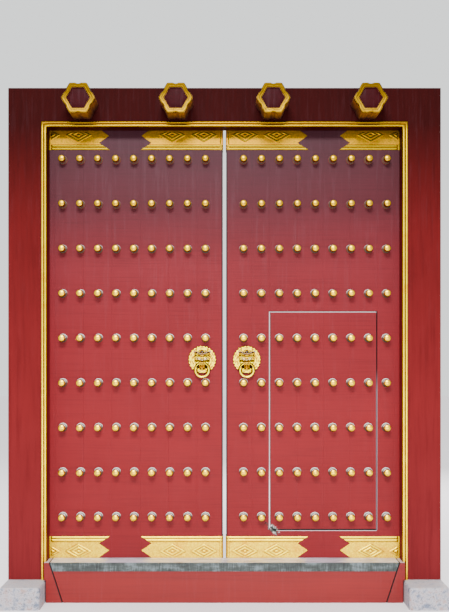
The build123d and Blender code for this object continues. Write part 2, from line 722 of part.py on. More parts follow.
# Metal wraps: a sheet folded round the leaf's edge, embossed in front, with a zigzag end
wrap_face = leaf_front - wrap_sheet
wrap_depth = leaf_thick + 2 * wrap_sheet
ridge_end = jamb_inner - 2 * leaf_run
for name, side in sides:
    for end, away, edge_z in (("top", 1, leaf_top - wrap_height), ("bottom", -1, leaf_bottom + wrap_height)):
        base_z = min(edge_z, edge_z + away * wrap_height)
        for edge, tip, tooth_way in (("meeting", wrap_meeting_tip, -1), ("hinge", wrap_hinge_tip, 1)):
            lowest = tip if edge == "hinge" else meeting_x
            highest = pivot_x if edge == "hinge" else tip
            x0, width = span(side, lowest, highest)
            with BuildPart() as wrap:
                with BuildSketch(Plane.XY.offset(base_z)):
                    with Locations((x0, wrap_face)):
                        Rectangle(width, wrap_depth, align=(Align.MIN, Align.MIN))
                    if edge == "hinge":
                        with Locations((side * pivot_x, pivot_y)):
                            Circle(leaf_thick / 2 + wrap_sheet)
                            Circle(leaf_thick / 2, mode=Mode.SUBTRACT)
                    else:
                        fold_x = span(side, meeting_x - wrap_sheet, meeting_x)[0]
                        with Locations((fold_x, wrap_face)):
                            Rectangle(wrap_sheet, wrap_depth, align=(Align.MIN, Align.MIN))
                    with Locations((x0, leaf_front)):
                        Rectangle(width, leaf_thick, align=(Align.MIN, Align.MIN), mode=Mode.SUBTRACT)
                extrude(amount=wrap_height)

                ridge_near = tip if edge == "hinge" else meeting_x - wrap_sheet
                ridge_far = ridge_end if edge == "hinge" else tip
                x0, width = span(side, ridge_near, ridge_far)
                with BuildSketch(Plane.YZ.offset(x0)):
                    for number in range(ridge_count):
                        ridge_z = edge_z + away * (ridge_first + number * ridge_pitch)
                        Polygon(
                            (wrap_face, ridge_z - ridge_width / 2),
                            (wrap_face - ridge_height, ridge_z - ridge_width / 4),
                            (wrap_face - ridge_height, ridge_z + ridge_width / 4),
                            (wrap_face, ridge_z + ridge_width / 2),
                            align=None,
                        )
                extrude(amount=width)

                hinged = edge == "hinge"
                first = pivot_x - lozenge_from_pivot if hinged else meeting_x + lozenge_from_meeting
                count = hinge_lozenge_count if hinged else meeting_lozenge_count
                lozenge_z = edge_z + away * lozenge_level
                with BuildSketch(front_plane(wrap_face)):
                    for number in range(count):
                        lozenge_x = side * (first - tooth_way * number * lozenge_pitch)
                        for trimmed, mode in (
                            (0, Mode.ADD),
                            (lozenge_line, Mode.SUBTRACT),
                            (lozenge_inset, Mode.ADD),
                            (lozenge_inset + lozenge_line, Mode.SUBTRACT),
                        ):
                            height = lozenge_height - 2 * trimmed
                            length = lozenge_length * height / lozenge_height
                            Polygon(
                                (lozenge_x - length / 2, lozenge_z),
                                (lozenge_x, lozenge_z - height / 2),
                                (lozenge_x + length / 2, lozenge_z),
                                (lozenge_x, lozenge_z + height / 2),
                                align=None,
                                mode=mode,
                            )
                extrude(amount=lozenge_relief)

                notch = tip + tooth_way * wrap_tooth
                second = tip + tooth_way * wrap_second_tip
                past = tip - tooth_way * wrap_tooth
                with BuildSketch(front_plane(leaf_back + wrap_sheet)):
                    Polygon(
                        (side * tip, edge_z),
                        (side * notch, edge_z + away * wrap_height / 4),
                        (side * second, edge_z + away * wrap_height / 2),
                        (side * notch, edge_z + away * wrap_height * 3 / 4),
                        (side * tip, edge_z + away * wrap_height),
                        (side * past, edge_z + away * wrap_height),
                        (side * past, edge_z),
                        align=None,
                    )
                extrude(amount=wrap_depth + ridge_height, mode=Mode.SUBTRACT)
            wrap.part.label = f"{name}_{end}_{edge}_wrap"
            export_step(wrap.part, f"parts/{name}_{end}_{edge}_wrap.step")

# Knockers: curled mane, round face, muzzle bored for the ring, jaw, nose, brow, horn and eyes
ring_y = leaf_front - ring_stand
ring_outer = ring_radius + ring_bar
ring_inner = ring_radius - ring_bar
bore_top = ring_level + ring_outer
bore_bottom = ring_level + (ring_inner**2 - muzzle_half**2) ** 0.5
bore_level = (bore_top + bore_bottom) / 2
bore_radius = (bore_top - bore_bottom) / 2 + bore_run
muzzle_radius = bore_radius + muzzle_wall
nose_foot = bore_level + nose_lift
for name, side in sides:
    middle = side * knocker_x
    with BuildPart() as knocker:
        with BuildSketch(front_plane(leaf_front)):
            with Locations((middle, knocker_level)):
                Circle(mane_radius)
                with PolarLocations(mane_radius - mane_curl_radius / 4, curl_count):
                    RegularPolygon(mane_curl_radius, 6)
        extrude(amount=mane_thick)
        with BuildSketch(front_plane(leaf_front)):
            with Locations((middle, knocker_level)):
                Circle(face_radius)
        extrude(amount=face_thick)
        with BuildSketch(front_plane(leaf_front)):
            with Locations((middle, bore_level)):
                Rectangle(2 * muzzle_half, 2 * muzzle_radius)
        extrude(amount=ring_stand)
        with Locations(Location((middle, ring_y, bore_level), (0, 90, 0))):
            Cylinder(muzzle_radius, 2 * muzzle_half)
            Cylinder(bore_radius, 2 * muzzle_half, mode=Mode.SUBTRACT)
        with BuildSketch(front_plane(leaf_front)):
            with Locations((middle, bore_level - bore_radius)):
                Trapezoid(2 * jaw_half, jaw_drop, 80, align=(Align.CENTER, Align.MAX))
        extrude(amount=jaw_thick)
        with BuildSketch(front_plane(leaf_front)):
            with Locations((middle, nose_foot)):
                Trapezoid(2 * nose_half, nose_height, 60, align=(Align.CENTER, Align.MIN))
        extrude(amount=nose_thick)
        with BuildSketch(front_plane(leaf_front)):
            with Locations((middle, knocker_level + brow_foot)):
                Rectangle(2 * brow_half, brow_height, align=(Align.CENTER, Align.MIN))
            Polygon(
                (middle - brow_half, knocker_level + brow_foot + brow_height),
                (middle + brow_half, knocker_level + brow_foot + brow_height),
                (middle, knocker_level + brow_foot + brow_height + horn_height),
                align=None,
            )
        extrude(amount=brow_thick)
        with BuildSketch(front_plane(leaf_front)):
            for way in (-1, 1):
                with Locations((middle + way * eye_spread, knocker_level + eye_rise)):
                    Circle(eye_ball)
        extrude(amount=eye_thick)
    knocker.part.label = f"{name}_knocker_plate"
    export_step(knocker.part, f"parts/{name}_knocker_plate.step")

    with BuildPart(Plane(origin=(middle, ring_y, ring_level), z_dir=(0, -1, 0))) as ring:
        Torus(ring_radius, ring_bar)
    ring.part.label = f"{name}_ring"
    export_step(ring.part, f"parts/{name}_ring.step")

# Crossbar behind the left leaf, drawn back, and the peg that stops it at both ends of its travel
bar_y = leaf_back + staple_sheet + bar_play
bar_foot = bar_level - bar_height / 2
with BuildPart() as crossbar:
    with Locations((-bar_end - bar_length, bar_y, bar_foot)):
        Box(bar_length, bar_thick, bar_height, align=low)
    with BuildSketch(Plane.XY.offset(bar_foot)):
        with Locations((peg_place, bar_y + bar_thick / 2)):
            Circle(peg_radius + peg_fit)
    extrude(amount=bar_height, mode=Mode.SUBTRACT)
crossbar.part.label = "crossbar"
export_step(crossbar.part, "parts/crossbar.step")

with BuildPart() as peg:
    with BuildSketch(Plane.XY.offset(bar_foot)):
        with Locations((peg_place, bar_y + bar_thick / 2)):
            Circle(peg_radius)
    extrude(amount=bar_height + peg_stand)
peg.part.label = "crossbar_peg"
export_step(peg.part, "parts/crossbar_peg.step")


def bar_loop(place):
    # A plate on the leaf's back and an iron loop that the crossbar slides through
    reach = 2 * bar_play + bar_thick
    with BuildPart() as loop:
        with Locations((place, leaf_back, bar_level)):
            Box(
                staple_plate_width,
                staple_sheet,
                staple_plate_height,
                align=(Align.CENTER, Align.MIN, Align.CENTER),
            )
        with BuildSketch(Plane.YZ.offset(place - staple_width / 2)):
            with Locations((leaf_back, bar_foot - bar_seat - staple_sheet)):
                Rectangle(
                    reach + 2 * staple_sheet,
                    bar_height + bar_seat + bar_play + 2 * staple_sheet,
                    align=(Align.MIN, Align.MIN),
                )
            with Locations((leaf_back + staple_sheet, bar_foot - bar_seat)):
                Rectangle(
                    reach,
                    bar_height + bar_seat + bar_play,
                    align=(Align.MIN, Align.MIN),
                    mode=Mode.SUBTRACT,
                )
        extrude(amount=staple_width)
    return loop.part


loops = [bar_loop(place) for place in staple_places]
with BuildPart() as staples:
    add(loops)
staples.part.label = "left_bar_staples"
export_step(staples.part, "parts/left_bar_staples.step")

keeper_loop = bar_loop(keeper_place)
with BuildPart() as keeper:
    add(keeper_loop)
keeper.part.label = "right_bar_keeper"
export_step(keeper.part, "parts/right_bar_keeper.step")

# Wicket's iron straps, each with an eye at the hinge, on pintles fixed to the outer plank
hinge_x = wicket_outer - wicket_gap / 2
hinge_y = leaf_back + eye_off + eye_radius
eye_bore = pintle_radius + pintle_run
opening_middle = (wicket_foot + wicket_head) / 2
strap_levels = (wicket_foot + strap_foot, opening_middle + strap_middle, wicket_head - strap_head)
with BuildPart() as straps:
    for level in strap_levels:
        with BuildSketch(front_plane(leaf_back + strap_sheet)):
            Polygon(
                (hinge_x, level - strap_height / 2),
                (hinge_x - strap_length, level - strap_tip / 2),
                (hinge_x - strap_length - strap_tip, level),
                (hinge_x - strap_length, level + strap_tip / 2),
                (hinge_x, level + strap_height / 2),
                align=None,
            )
        extrude(amount=strap_sheet)
        with BuildSketch(Plane.XY.offset(level - strap_height / 2)):
            with Locations((hinge_x, hinge_y)):
                Circle(eye_radius)
        extrude(amount=strap_height)
        with BuildSketch(Plane.XY.offset(level - strap_height / 2)):
            with Locations((hinge_x, hinge_y)):
                Circle(eye_bore)
        extrude(amount=strap_height, mode=Mode.SUBTRACT)
straps.part.label = "wicket_straps"
export_step(straps.part, "parts/wicket_straps.step")

plate_near = hinge_x + eye_radius + eye_off
with BuildPart() as pintles:
    for level in strap_levels:
        shoulder_foot = level - strap_height / 2 - pintle_seat - pintle_shoulder
        with Locations((plate_near, leaf_back, shoulder_foot)):
            Box(pintle_plate, strap_sheet, strap_height + pintle_shoulder, align=low)
        with Locations((hinge_x, leaf_back, shoulder_foot)):
            Box(eye_radius + 2 * eye_off, eye_radius, pintle_shoulder, align=low)
        with BuildSketch(Plane.XY.offset(shoulder_foot)):
            with Locations((hinge_x, hinge_y)):
                Circle(eye_radius)
        extrude(amount=pintle_shoulder)
        with BuildSketch(Plane.XY.offset(shoulder_foot)):
            with Locations((hinge_x, hinge_y)):
                Circle(pintle_radius)
        extrude(amount=2 * pintle_shoulder + strap_height)
pintles.part.label = "wicket_pintles"
export_step(pintles.part, "parts/wicket_pintles.step")
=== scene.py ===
from functools import partial
from math import pi, radians

import bmesh
import bpy
import numpy as np
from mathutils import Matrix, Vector


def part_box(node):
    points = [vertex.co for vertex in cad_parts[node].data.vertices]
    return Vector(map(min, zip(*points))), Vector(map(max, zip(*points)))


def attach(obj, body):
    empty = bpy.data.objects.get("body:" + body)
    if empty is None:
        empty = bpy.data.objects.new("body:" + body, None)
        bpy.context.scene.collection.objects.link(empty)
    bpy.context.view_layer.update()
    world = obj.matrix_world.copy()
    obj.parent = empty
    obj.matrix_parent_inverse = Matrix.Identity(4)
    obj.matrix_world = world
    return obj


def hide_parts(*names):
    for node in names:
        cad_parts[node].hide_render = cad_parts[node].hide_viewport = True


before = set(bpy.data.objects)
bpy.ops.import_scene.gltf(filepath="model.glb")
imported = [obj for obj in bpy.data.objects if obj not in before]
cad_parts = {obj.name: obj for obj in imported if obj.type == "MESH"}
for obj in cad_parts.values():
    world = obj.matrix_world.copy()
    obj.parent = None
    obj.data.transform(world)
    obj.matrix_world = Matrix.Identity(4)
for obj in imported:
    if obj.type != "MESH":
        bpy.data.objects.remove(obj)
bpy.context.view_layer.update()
mm = 0.001
print("frame loaded:", len(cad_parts), "nodes")

# Camera: level and square to the gate, with the horizon below the middle of the picture
view = {"distance": 8.0, "height": 2.042, "focal": 964, "horizon": 355, "width": 449, "rows": 612}


def placeCamera(look):
    # Lens from the focal length in pixels, and a shift that puts the horizon on its row
    data = bpy.data.cameras.new("camera")
    data.sensor_fit = "HORIZONTAL"
    data.sensor_width = 36
    data.lens = look["focal"] / look["width"] * data.sensor_width
    data.shift_y = (look["horizon"] - look["rows"] / 2) / look["width"]
    data.clip_end = 200
    camera = bpy.data.objects.new("camera", data)
    camera.location = (0, -look["distance"], look["height"])
    camera.rotation_euler = (radians(90), 0, 0)
    bpy.context.collection.objects.link(camera)
    bpy.context.scene.camera = camera


placeCamera(view)


def linear(colour):
    # sRGB hex digits, or a grey from 0 to 1, as the linear colour that a socket takes
    if not isinstance(colour, str):
        return (colour, colour, colour, 1)
    share = np.array([int(colour[at:at + 2], 16) for at in (0, 2, 4)]) / 255
    light = np.where(share <= 0.04045, share / 12.92, ((share + 0.055) / 1.055) ** 2.4)
    return (*light.tolist(), 1)


def feed(node, sources):
    # What goes into a node's inputs: a hex colour, a socket, or another node, which gives its result
    for name, source in sources.items():
        if isinstance(source, str):
            node.inputs[name].default_value = linear(source)
            continue
        if isinstance(source, bpy.types.Node):
            source = source.outputs[2 if source.bl_idname == "ShaderNodeMix" else 0]
        node.id_data.links.new(source, node.inputs[name])


def addNode(tree, kind, settings=None, sources=None):
    # One node: its colour stops, plain settings, the values of its inputs, and what feeds them
    node = tree.nodes.new("ShaderNode" + kind)
    for name, value in (settings or {}).items():
        if name == "stops":
            ramp = node.color_ramp.elements
            ramp.remove(ramp[1])
            ramp[0].position = value[0][0]
            ramp[0].color = linear(value[0][1])
            for place, tone in value[1:]:
                ramp.new(place).color = linear(tone)
        elif isinstance(name, int) or name[0].isupper():
            node.inputs[name].default_value = value
        else:
            setattr(node, name, value)
    feed(node, sources or {})
    return node


def newMaterial(name, settings):
    # A material with its shader, what adds nodes to it, and the object's own places and facings
    material = bpy.data.materials.new(name)
    material.use_nodes = True
    material.node_tree.nodes.clear()
    add = partial(addNode, material.node_tree)
    shader = add("BsdfPrincipled", settings)
    add("OutputMaterial", sources={"Surface": shader})
    place = add("TexCoord")
    return material, add, shader, place.outputs["Object"], place.outputs["Normal"]


def nearLine(add, value, middle, full, none, strength=1.0):
    # How near a coordinate is to a line: strength within full of its middle, nothing beyond none
    off = add("Math", {"operation": "SUBTRACT", 1: middle}, {0: value})
    off = add("Math", {"operation": "ABSOLUTE"}, {0: off})
    return add("MapRange", {1: none, 2: full, 4: strength}, {0: off})


def drawnNoise(add, place, scale, detail, rough):
    # Noise drawn out along the axes, with so many of its clouds to a metre along each
    drawn = add("Mapping", {"Scale": scale}, {0: place})
    return add("TexNoise", {"Scale": 1.0, "Detail": detail, "Roughness": rough}, {0: drawn})


def layered(add, colour, layers):
    # The colour with each layer's tone mixed over it by the layer's own share
    for share, tone in layers:
        colour = add("Mix", {"data_type": "RGBA"}, {0: share, 6: colour, 7: tone})
    return colour


def dress(material, add, shader, colour, rough, relief):
    # Joins a finish up: its colour, then its roughness between two values and its bump, each by a pattern
    low, high, pattern = rough
    strength, depth, height = relief
    rough = add("MapRange", {3: low, 4: high}, {0: pattern})
    relief = add("Bump", {"Strength": strength, "Distance": depth}, {"Height": height})
    feed(shader, {"Base Color": colour, "Roughness": rough, "Normal": relief})
    return material


# Red lacquer: tung oil and cinnabar brushed over a hemp and plaster ground. It is satin and streaked
# by the brush. Its tones darken towards the top as painted shade of the eaves, where dust and painted shade
# also turn it purplish.
lacquerLook = {
    "leaf": {
        "tones": [(0.0, "781b20"), (0.30, "7c171d"), (0.52, "73151c"), (0.66, "6c1820"), (0.80, "4a1119"),
                  (1.0, "28070d")],
        "rise": (0.2, 4.1), "brush": (2.0, 30, 84), "gloss": 0.12, "rough": (0.36, 0.58), "runs": 0.045,
        "dust": "3a2230", "dusty": (2.9, 4.75), "worn": True,
    },
    "frame": {
        "tones": [(0.0, "6c2023"), (0.35, "6b1c1e"), (0.72, "551314"), (0.86, "3b0b0b"), (0.93, "2b0707"),
                  (1.0, "290606")],
        "rise": (0.2, 4.25), "brush": (26, 30, 1.6), "gloss": 0.02, "rough": (0.5, 0.7), "runs": 0.02,
        "dust": "2a0d0c", "dusty": (3.7, 6.5),
    },
    # the pins' panels: dark all over, painted shade of the eaves
    "panel": {
        "tones": [(0.0, "300507"), (1.0, "2c0507")],
        "rise": (0.0, 5.0), "brush": (9, 30, 30), "gloss": 0.03, "rough": (0.42, 0.58), "runs": 0.05,
        "dust": "2c1018", "dusty": (3.0, 6.0),
    },
    "threshold": {
        "tones": [(0.0, "7a1010"), (0.5, "7e1111"), (1.0, "760f10")],
        "rise": (0.0, 0.33), "brush": (1.6, 20, 60), "gloss": 0.3, "rough": (0.36, 0.58), "runs": 0.1,
        "dust": "c9b9bd", "dusty": (0.3293, 0.3296), "joint": (1.335, 0.108 / 0.33, 0.007),
    },
}
washed = "a98a98"  # dust washed down by rain
jointDirt = "0a0304"


def redLacquer(name, look):
    material, add, shader, place, normal = newMaterial(name, {"Specular IOR Level": look["gloss"]})
    x, y, z = add("SeparateXYZ", sources={0: place}).outputs
    up = add("SeparateXYZ", sources={0: normal}).outputs["Z"]
    # tones by height, darker towards the top: painted shade of the eaves
    low, high = look["rise"]
    rise = add("MapRange", {1: low, 2: high}, {0: z})
    colour = add("ValToRGB", {"stops": look["tones"]}, {0: rise})
    strokes = drawnNoise(add, place, look["brush"], 5.0, 0.62)
    patches = add("TexNoise", {"Scale": 1.7, "Detail": 4.0, "Roughness": 0.55}, {0: place})
    shades = ((strokes, [(0.28, 0.72), (0.5, 0.92), (0.74, 1.0)]), (patches, [(0.3, 0.88), (0.7, 1.0)]))
    for noise, stops in shades:
        shade = add("ValToRGB", {"stops": stops}, {0: noise})
        colour = add("Mix", {"data_type": "RGBA", "blend_type": "MULTIPLY", 0: 1.0}, {6: colour, 7: shade})
    # pale runs where dust was washed down, strongest high up
    runs = drawnNoise(add, place, (38, 5, 2.6), 6.0, 0.68)
    runs = add("MapRange", {1: 0.52, 2: 0.78, 4: look["runs"]}, {0: runs})
    height = add("MapRange", {1: 1.2, 2: 3.6, 3: 0.25}, {0: z})
    runs = add("Math", {"operation": "MULTIPLY"}, {0: runs, 1: height})
    # dust, thicker towards the top and on faces that look up, broken by the brush's streaks; towards the top
    # its dark tone is also painted shade of the eaves
    low, high = look["dusty"]
    settled = add("MapRange", {1: low, 2: high}, {0: z})
    rubbed = add("MapRange", {1: 0.5, 2: 1.4, 3: 1.0, 4: 0.6}, {0: x})
    for share in (strokes, rubbed):
        settled = add("Math", {"operation": "MULTIPLY"}, {0: settled, 1: share})
    upward = add("MapRange", {1: 0.3, 2: 0.9, 4: 0.8}, {0: up})
    settled = add("Math", {"operation": "MAXIMUM"}, {0: settled, 1: upward})
    colour = layered(add, colour, [(runs, washed), (settled, look["dust"])])
    if "joint" in look:
        # open joint between the lift-out board and its cheeks, slanting outwards as it rises
        foot, slope, half = look["joint"]
        outside = add("Math", {"operation": "ABSOLUTE"}, {0: x})
        leaning = add("Math", {"operation": "MULTIPLY_ADD", 1: -slope, 2: -foot}, {0: z})
        off = add("Math", {"operation": "ADD"}, {0: outside, 1: leaning})
        colour = layered(add, colour, [(nearLine(add, off, 0, half * 0.6, half, 0.97), jointDirt)])
    if "worn" in look:
        colour = leafWear(add, place, (x, y, z), colour)
    peel = add("TexNoise", {"Scale": 160.0, "Detail": 3.0}, {0: place})  # 6 mm orange peel
    height = add("Math", {"operation": "MULTIPLY_ADD", 1: 0.35}, {0: peel, 2: strokes})
    return dress(material, add, shader, colour, (*look["rough"], strokes), (0.35, 0.0012, height))


# Wear on the leaves: a lost patch of lacquer at the wicket's foot, its joints, and a split plank
chip = {"middle": (0.412, 0, 0.571), "turn": 45, "long": 0.080, "short": 0.030, "ground": "5f6a64",
        "deep": "131814", "plaster": "dedbd6"}
# the wicket's joints: their shadow and daylight are painted light and shade, their rubbed edges are wear
arris = {"joint": 0.006, "drop": 0.0056, "wide": 0.0048, "from": 0.47, "rubbed": "d2c6c9", "shadow": "120405",
         "daylight": "85868e", "dark": (1.74, 1.92)}
crack = {"x": 0.2326, "width": 0.0035, "from": 3.60, "colour": "1d0d10"}
meetingShade = {"full": 0.0235, "none": 0.0255, "colour": "1c0608"}


def leafWear(add, place, axes, colour):
    x, y, z = axes
    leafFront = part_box("left_planks")[0][1]
    inFront = add("MapRange", {1: leafFront + 0.03, 2: leafFront + 0.02}, {0: y})
    # ragged oval of lost lacquer, down to the grey ground
    turned = add("Mapping", {
        "vector_type": "TEXTURE", "Location": chip["middle"], "Rotation": (0, radians(chip["turn"]), 0),
        "Scale": (chip["long"], 1.0, chip["short"])}, {0: place})
    parts = add("SeparateXYZ", sources={0: turned})
    flat = add("CombineXYZ", sources={"X": parts.outputs["X"], "Z": parts.outputs["Z"]})
    away = add("VectorMath", {"operation": "LENGTH"}, {0: flat})
    crumbs = add("TexNoise", {"Scale": 62.0, "Detail": 6.0, "Roughness": 0.72}, {0: place})
    edge = add("Math", {"operation": "MULTIPLY_ADD", 1: 3.6}, {0: crumbs, 2: away.outputs["Value"]})
    lost = add("MapRange", {1: 2.66, 2: 2.56}, {0: edge})
    lost = add("Math", {"operation": "MULTIPLY"}, {0: lost, 1: inFront})
    grit = add("TexNoise", {"Scale": 48.0, "Detail": 5.0, "Roughness": 0.75}, {0: place})
    stops = [(0.43, chip["deep"]), (0.53, chip["ground"]), (0.63, chip["plaster"])]
    layers = [(lost, add("ValToRGB", {"stops": stops}, {0: grit}))]
    # the wicket's joints: a rubbed edge under its foot with a line of painted shadow over it, the hinge side
    # painted in shadow above and with painted daylight below, and a rubbed edge along its top
    low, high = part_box("wicket_planks")
    joint, wide = arris["joint"], arris["wide"]
    after = add("MapRange", {1: low[0] - 0.004, 2: low[0]}, {0: x})
    along = add("MapRange", {1: arris["from"] - 0.03, 2: arris["from"]}, {0: x})
    ending = add("MapRange", {1: high[0] + 0.004, 2: high[0]}, {0: x})
    under = add("MapRange", {1: high[2] + 0.007, 2: high[2] + 0.006}, {0: z})
    above = add("MapRange", {1: low[2] - 0.007, 2: low[2] - 0.006}, {0: z})
    darkFrom, darkTo = arris["dark"]
    rising = add("MapRange", {1: darkFrom, 2: darkTo}, {0: z})
    hinged = layered(add, arris["daylight"], [(rising, arris["shadow"])])
    footEdge = nearLine(add, z, low[2] - joint - arris["drop"], wide * 0.4, wide * 0.55, 0.8)
    footShadow = nearLine(add, z, low[2] - joint / 2, 0.0056, 0.0066, 0.96)
    hingeSide = nearLine(add, x, high[0] + joint / 2, 0.0048, 0.0058, 0.96)
    topEdge = nearLine(add, z, high[2] - wide / 2, wide * 0.3, wide * 0.5, 0.65)
    for line, limits, tone in ((footEdge, (along, ending), arris["rubbed"]),
                               (footShadow, (along, ending), arris["shadow"]),
                               (hingeSide, (under, above), hinged),
                               (topEdge, (after, ending), arris["rubbed"])):
        for limit in (inFront, *limits):
            line = add("Math", {"operation": "MULTIPLY"}, {0: line, 1: limit})
        layers.append((line, tone))
    # painted shade along the meeting edges, and the open joint between two planks near the right leaf's top
    meeting = nearLine(add, x, 0, meetingShade["full"], meetingShade["none"], 0.95)
    layers.append((meeting, meetingShade["colour"]))
    split = nearLine(add, x, crack["x"], 0, crack["width"], 0.9)
    over = add("MapRange", {1: crack["from"], 2: crack["from"] + 0.03}, {0: z})
    layers.append((add("Math", {"operation": "MULTIPLY"}, {0: split, 1: over}), crack["colour"]))
    return layered(add, colour, layers)


# Gold leaf and gilt sheet: a painted highlight on the knocker's eyes and nose, amber where it is thin, and
# amber and brown as painted shade in the hollows. The shade by height gives heights in metres between which
# it darkens, as painted shade of the eaves, and the tone that it darkens to.
goldLook = {
    "wrap": {"bright": "ffdc00", "deep": "f0bc00", "thin": "b87a04", "hollow": "5a3a04", "rough": (0.34, 0.5),
             "leaf": 11, "cloud": 9, "smoke": [(3.3, 3.62, "b89a00"), (3.66, 3.84, "665400")],
             "edge": 0.0235, "edgeDirt": "1a1404"},
    "moulding": {"bright": "ffda00", "deep": "f2ba00", "thin": "a06602", "hollow": "4a2a04",
                 "rough": (0.26, 0.40), "leaf": 12, "cloud": 9,
                 "smoke": [(3.0, 3.8, "c8a400"), (3.90, 3.96, "7c5c00")]},
    # the pins' gold: dark all over and darker still high up, as painted shade of the eaves
    "pin": {"bright": "8a6a04", "deep": "6c5000", "thin": "4a3000", "hollow": "2a1802", "rough": (0.42, 0.56),
            "leaf": 20, "cloud": 14, "smoke": [(4.04, 4.16, "4e3a00")]},
    # the knocker's rubbed tone is a painted highlight on its eyes and nose
    "knocker": {"bright": "ffe400", "deep": "fcc400", "thin": "c88c04", "hollow": "120701",
                "rough": (0.3, 0.46), "leaf": 40, "cloud": 26, "smoke": [],
                "worn": "66626c", "rubbed": "fff2cc"},
    "ring": {"bright": "ffe420", "deep": "fcc40c", "thin": "9c5e06", "hollow": "1e0d03", "rough": (0.26, 0.4),
             "leaf": 40, "cloud": 26, "smoke": []},
}


def giltMetal(name, look):
    material, add, shader, place, normal = newMaterial(name, {"Metallic": 1.0})
    x, y, z = add("SeparateXYZ", sources={0: place}).outputs
    # squares of leaf, "leaf" of them to a metre, lying over clouds of thicker and thinner gold
    squares = {"distance": "CHEBYCHEV", "Scale": look["leaf"], "Randomness": 0.4}
    leaves = add("TexVoronoi", squares, {0: place})
    clouds = add("TexNoise", {"Scale": look["cloud"], "Detail": 5.0, "Roughness": 0.6}, {0: place})
    tone = add("Math", {"operation": "MULTIPLY_ADD", 1: 0.22}, {0: leaves.outputs["Color"], 2: clouds})
    colour = add("ValToRGB", {"stops": [(0.38, look["deep"]), (0.62, look["bright"])]}, {0: tone})
    layers = []
    # painted shade of the eaves, darker between the given heights
    for low, high, shade in look["smoke"]:
        layers.append((add("MapRange", {1: low, 2: high}, {0: z}), shade))
    # painted shade beside the meeting edge
    if "edge" in look:
        beside = nearLine(add, x, 0, look["edge"], look["edge"] + 0.001, 0.85)
        layers.append((beside, look["edgeDirt"]))
    if "worn" in look:
        # grey on the worn brow band, and a painted highlight where the share is below nought, on the eyes and
        # nose
        silver = add("Attribute", {"attribute_name": "silver"}).outputs["Fac"]
        rubbed = add("Math", {"operation": "MULTIPLY", 1: -1.0}, {0: silver})
        layers += [(silver, look["worn"]), (rubbed, look["rubbed"])]
    # painted shade in the hollows, from the attribute made with each piece, broken by grime: amber where it
    # is light, brown where it is deep
    hollow = add("Attribute", {"attribute_name": "hollow"}).outputs["Fac"]
    grime = add("TexNoise", {"Scale": 70.0, "Detail": 4.0, "Roughness": 0.65}, {0: place})
    dirt = add("Math", {"operation": "MULTIPLY_ADD", 1: 0.5}, {0: grime, 2: hollow})
    for low, high, shade in ((0.36, 0.70, look["thin"]), (0.62, 1.10, look["hollow"])):
        layers.append((add("MapRange", {1: low, 2: high}, {0: dirt}), shade))
    patchy = add("MapRange", {1: 0.3, 2: 0.8}, {0: grime})
    dents = add("TexNoise", {"Scale": 130.0, "Detail": 3.0}, {0: place})  # 8 mm hammered dimples
    colour = layered(add, colour, layers)
    return dress(material, add, shader, colour, (*look["rough"], patchy), (0.25, 0.0015, dents))


# Gilded turned knobs: gold domes, darker higher up and on what looks down as painted shade, dark brown necks
# as painted shade under the domes, and pale dust with painted light on what looks up, less of it higher up.
# Places are in metres along Y, where the dome, the neck's foot and the turned line lie.
studGold = {"gold": "ffdc00", "amber": "f4b400", "neck": "5e1e05", "under": "6a3002", "dust": "fffaf4",
            "dome": 0.088, "dustFrom": (0.100, 0.114), "dirt": "1e2c22", "line": 0.1275, "aloft": "be9400",
            "aloftFrom": (2.4, 3.5), "sheltered": (2.3, 3.4)}


def giltKnob(name, look):
    material, add, shader, place, normal = newMaterial(name, {"Specular IOR Level": 0.3})
    x, y, z = add("SeparateXYZ", sources={0: place}).outputs
    up = add("SeparateXYZ", sources={0: normal}).outputs["Z"]
    mottle = add("TexNoise", {"Scale": 45.0, "Detail": 4.0, "Roughness": 0.6}, {0: place})
    gold = add("ValToRGB", {"stops": [(0.35, look["amber"]), (0.6, look["gold"])]}, {0: mottle})
    # painted shade: darker higher up under the eaves, and on faces that look down
    low, high = look["aloftFrom"]
    aloft = add("MapRange", {1: low, 2: high}, {0: z})
    under = add("MapRange", {1: -0.05, 2: -0.7, 4: 0.85}, {0: up})
    gold = layered(add, gold, [(aloft, look["aloft"]), (under, look["under"])])
    dome = add("MapRange", {1: look["dome"] + 0.004, 2: look["dome"] - 0.004}, {0: y})
    # dust and painted light on what looks up near the leaf, fading higher up under the eaves
    dusty = add("MapRange", {1: 0.0, 2: 0.55, 4: 0.95}, {0: up})
    low, high = look["dustFrom"]
    near = add("MapRange", {1: low, 2: high}, {0: y})
    low, high = look["sheltered"]
    sheltered = add("MapRange", {1: low, 2: high, 3: 1.0, 4: 0.06}, {0: z})
    for share in (near, sheltered):
        dusty = add("Math", {"operation": "MULTIPLY"}, {0: dusty, 1: share})
    line = nearLine(add, y, look["line"], 0.0012, 0.0030, 0.9)
    colour = layered(add, look["neck"], [(dusty, look["dust"]), (line, look["dirt"]), (dome, gold)])
    feed(shader, {"Metallic": dome})
    return dress(material, add, shader, colour, (0.75, 0.34, dome), (0.2, 0.001, mottle))


# Ochre size under thin gilding on the pins' fluted sides
ochreLook = {"front": "8a5206", "back": "32100a", "stain": "1c0804"}


def ochreFlutes(name, look):
    material, add, shader, place, normal = newMaterial(name, {"Metallic": 0.25})
    y = add("SeparateXYZ", sources={0: place}).outputs["Y"]
    back = add("MapRange", {1: -0.24, 2: -0.02}, {0: y})
    runs = drawnNoise(add, place, (60, 7, 60), 5.0, 0.6)  # streaks 17 mm wide along the pin
    stain = add("MapRange", {1: 0.45, 2: 0.75, 4: 0.7}, {0: runs})
    colour = layered(add, look["front"], [(back, look["back"]), (stain, look["stain"])])
    return dress(material, add, shader, colour, (0.35, 0.55, runs), (0.3, 0.001, runs))


# Dressed granite: grey feldspar with pink and blue clouds and 3 mm flecks of mica, paler on top
graniteLook = {"pale": "b1adb4", "blue": "6c7589", "pink": "a98e88", "fleck": "2c2b30", "trodden": "c2b9ba",
               "chisel": (14, 14, 60)}


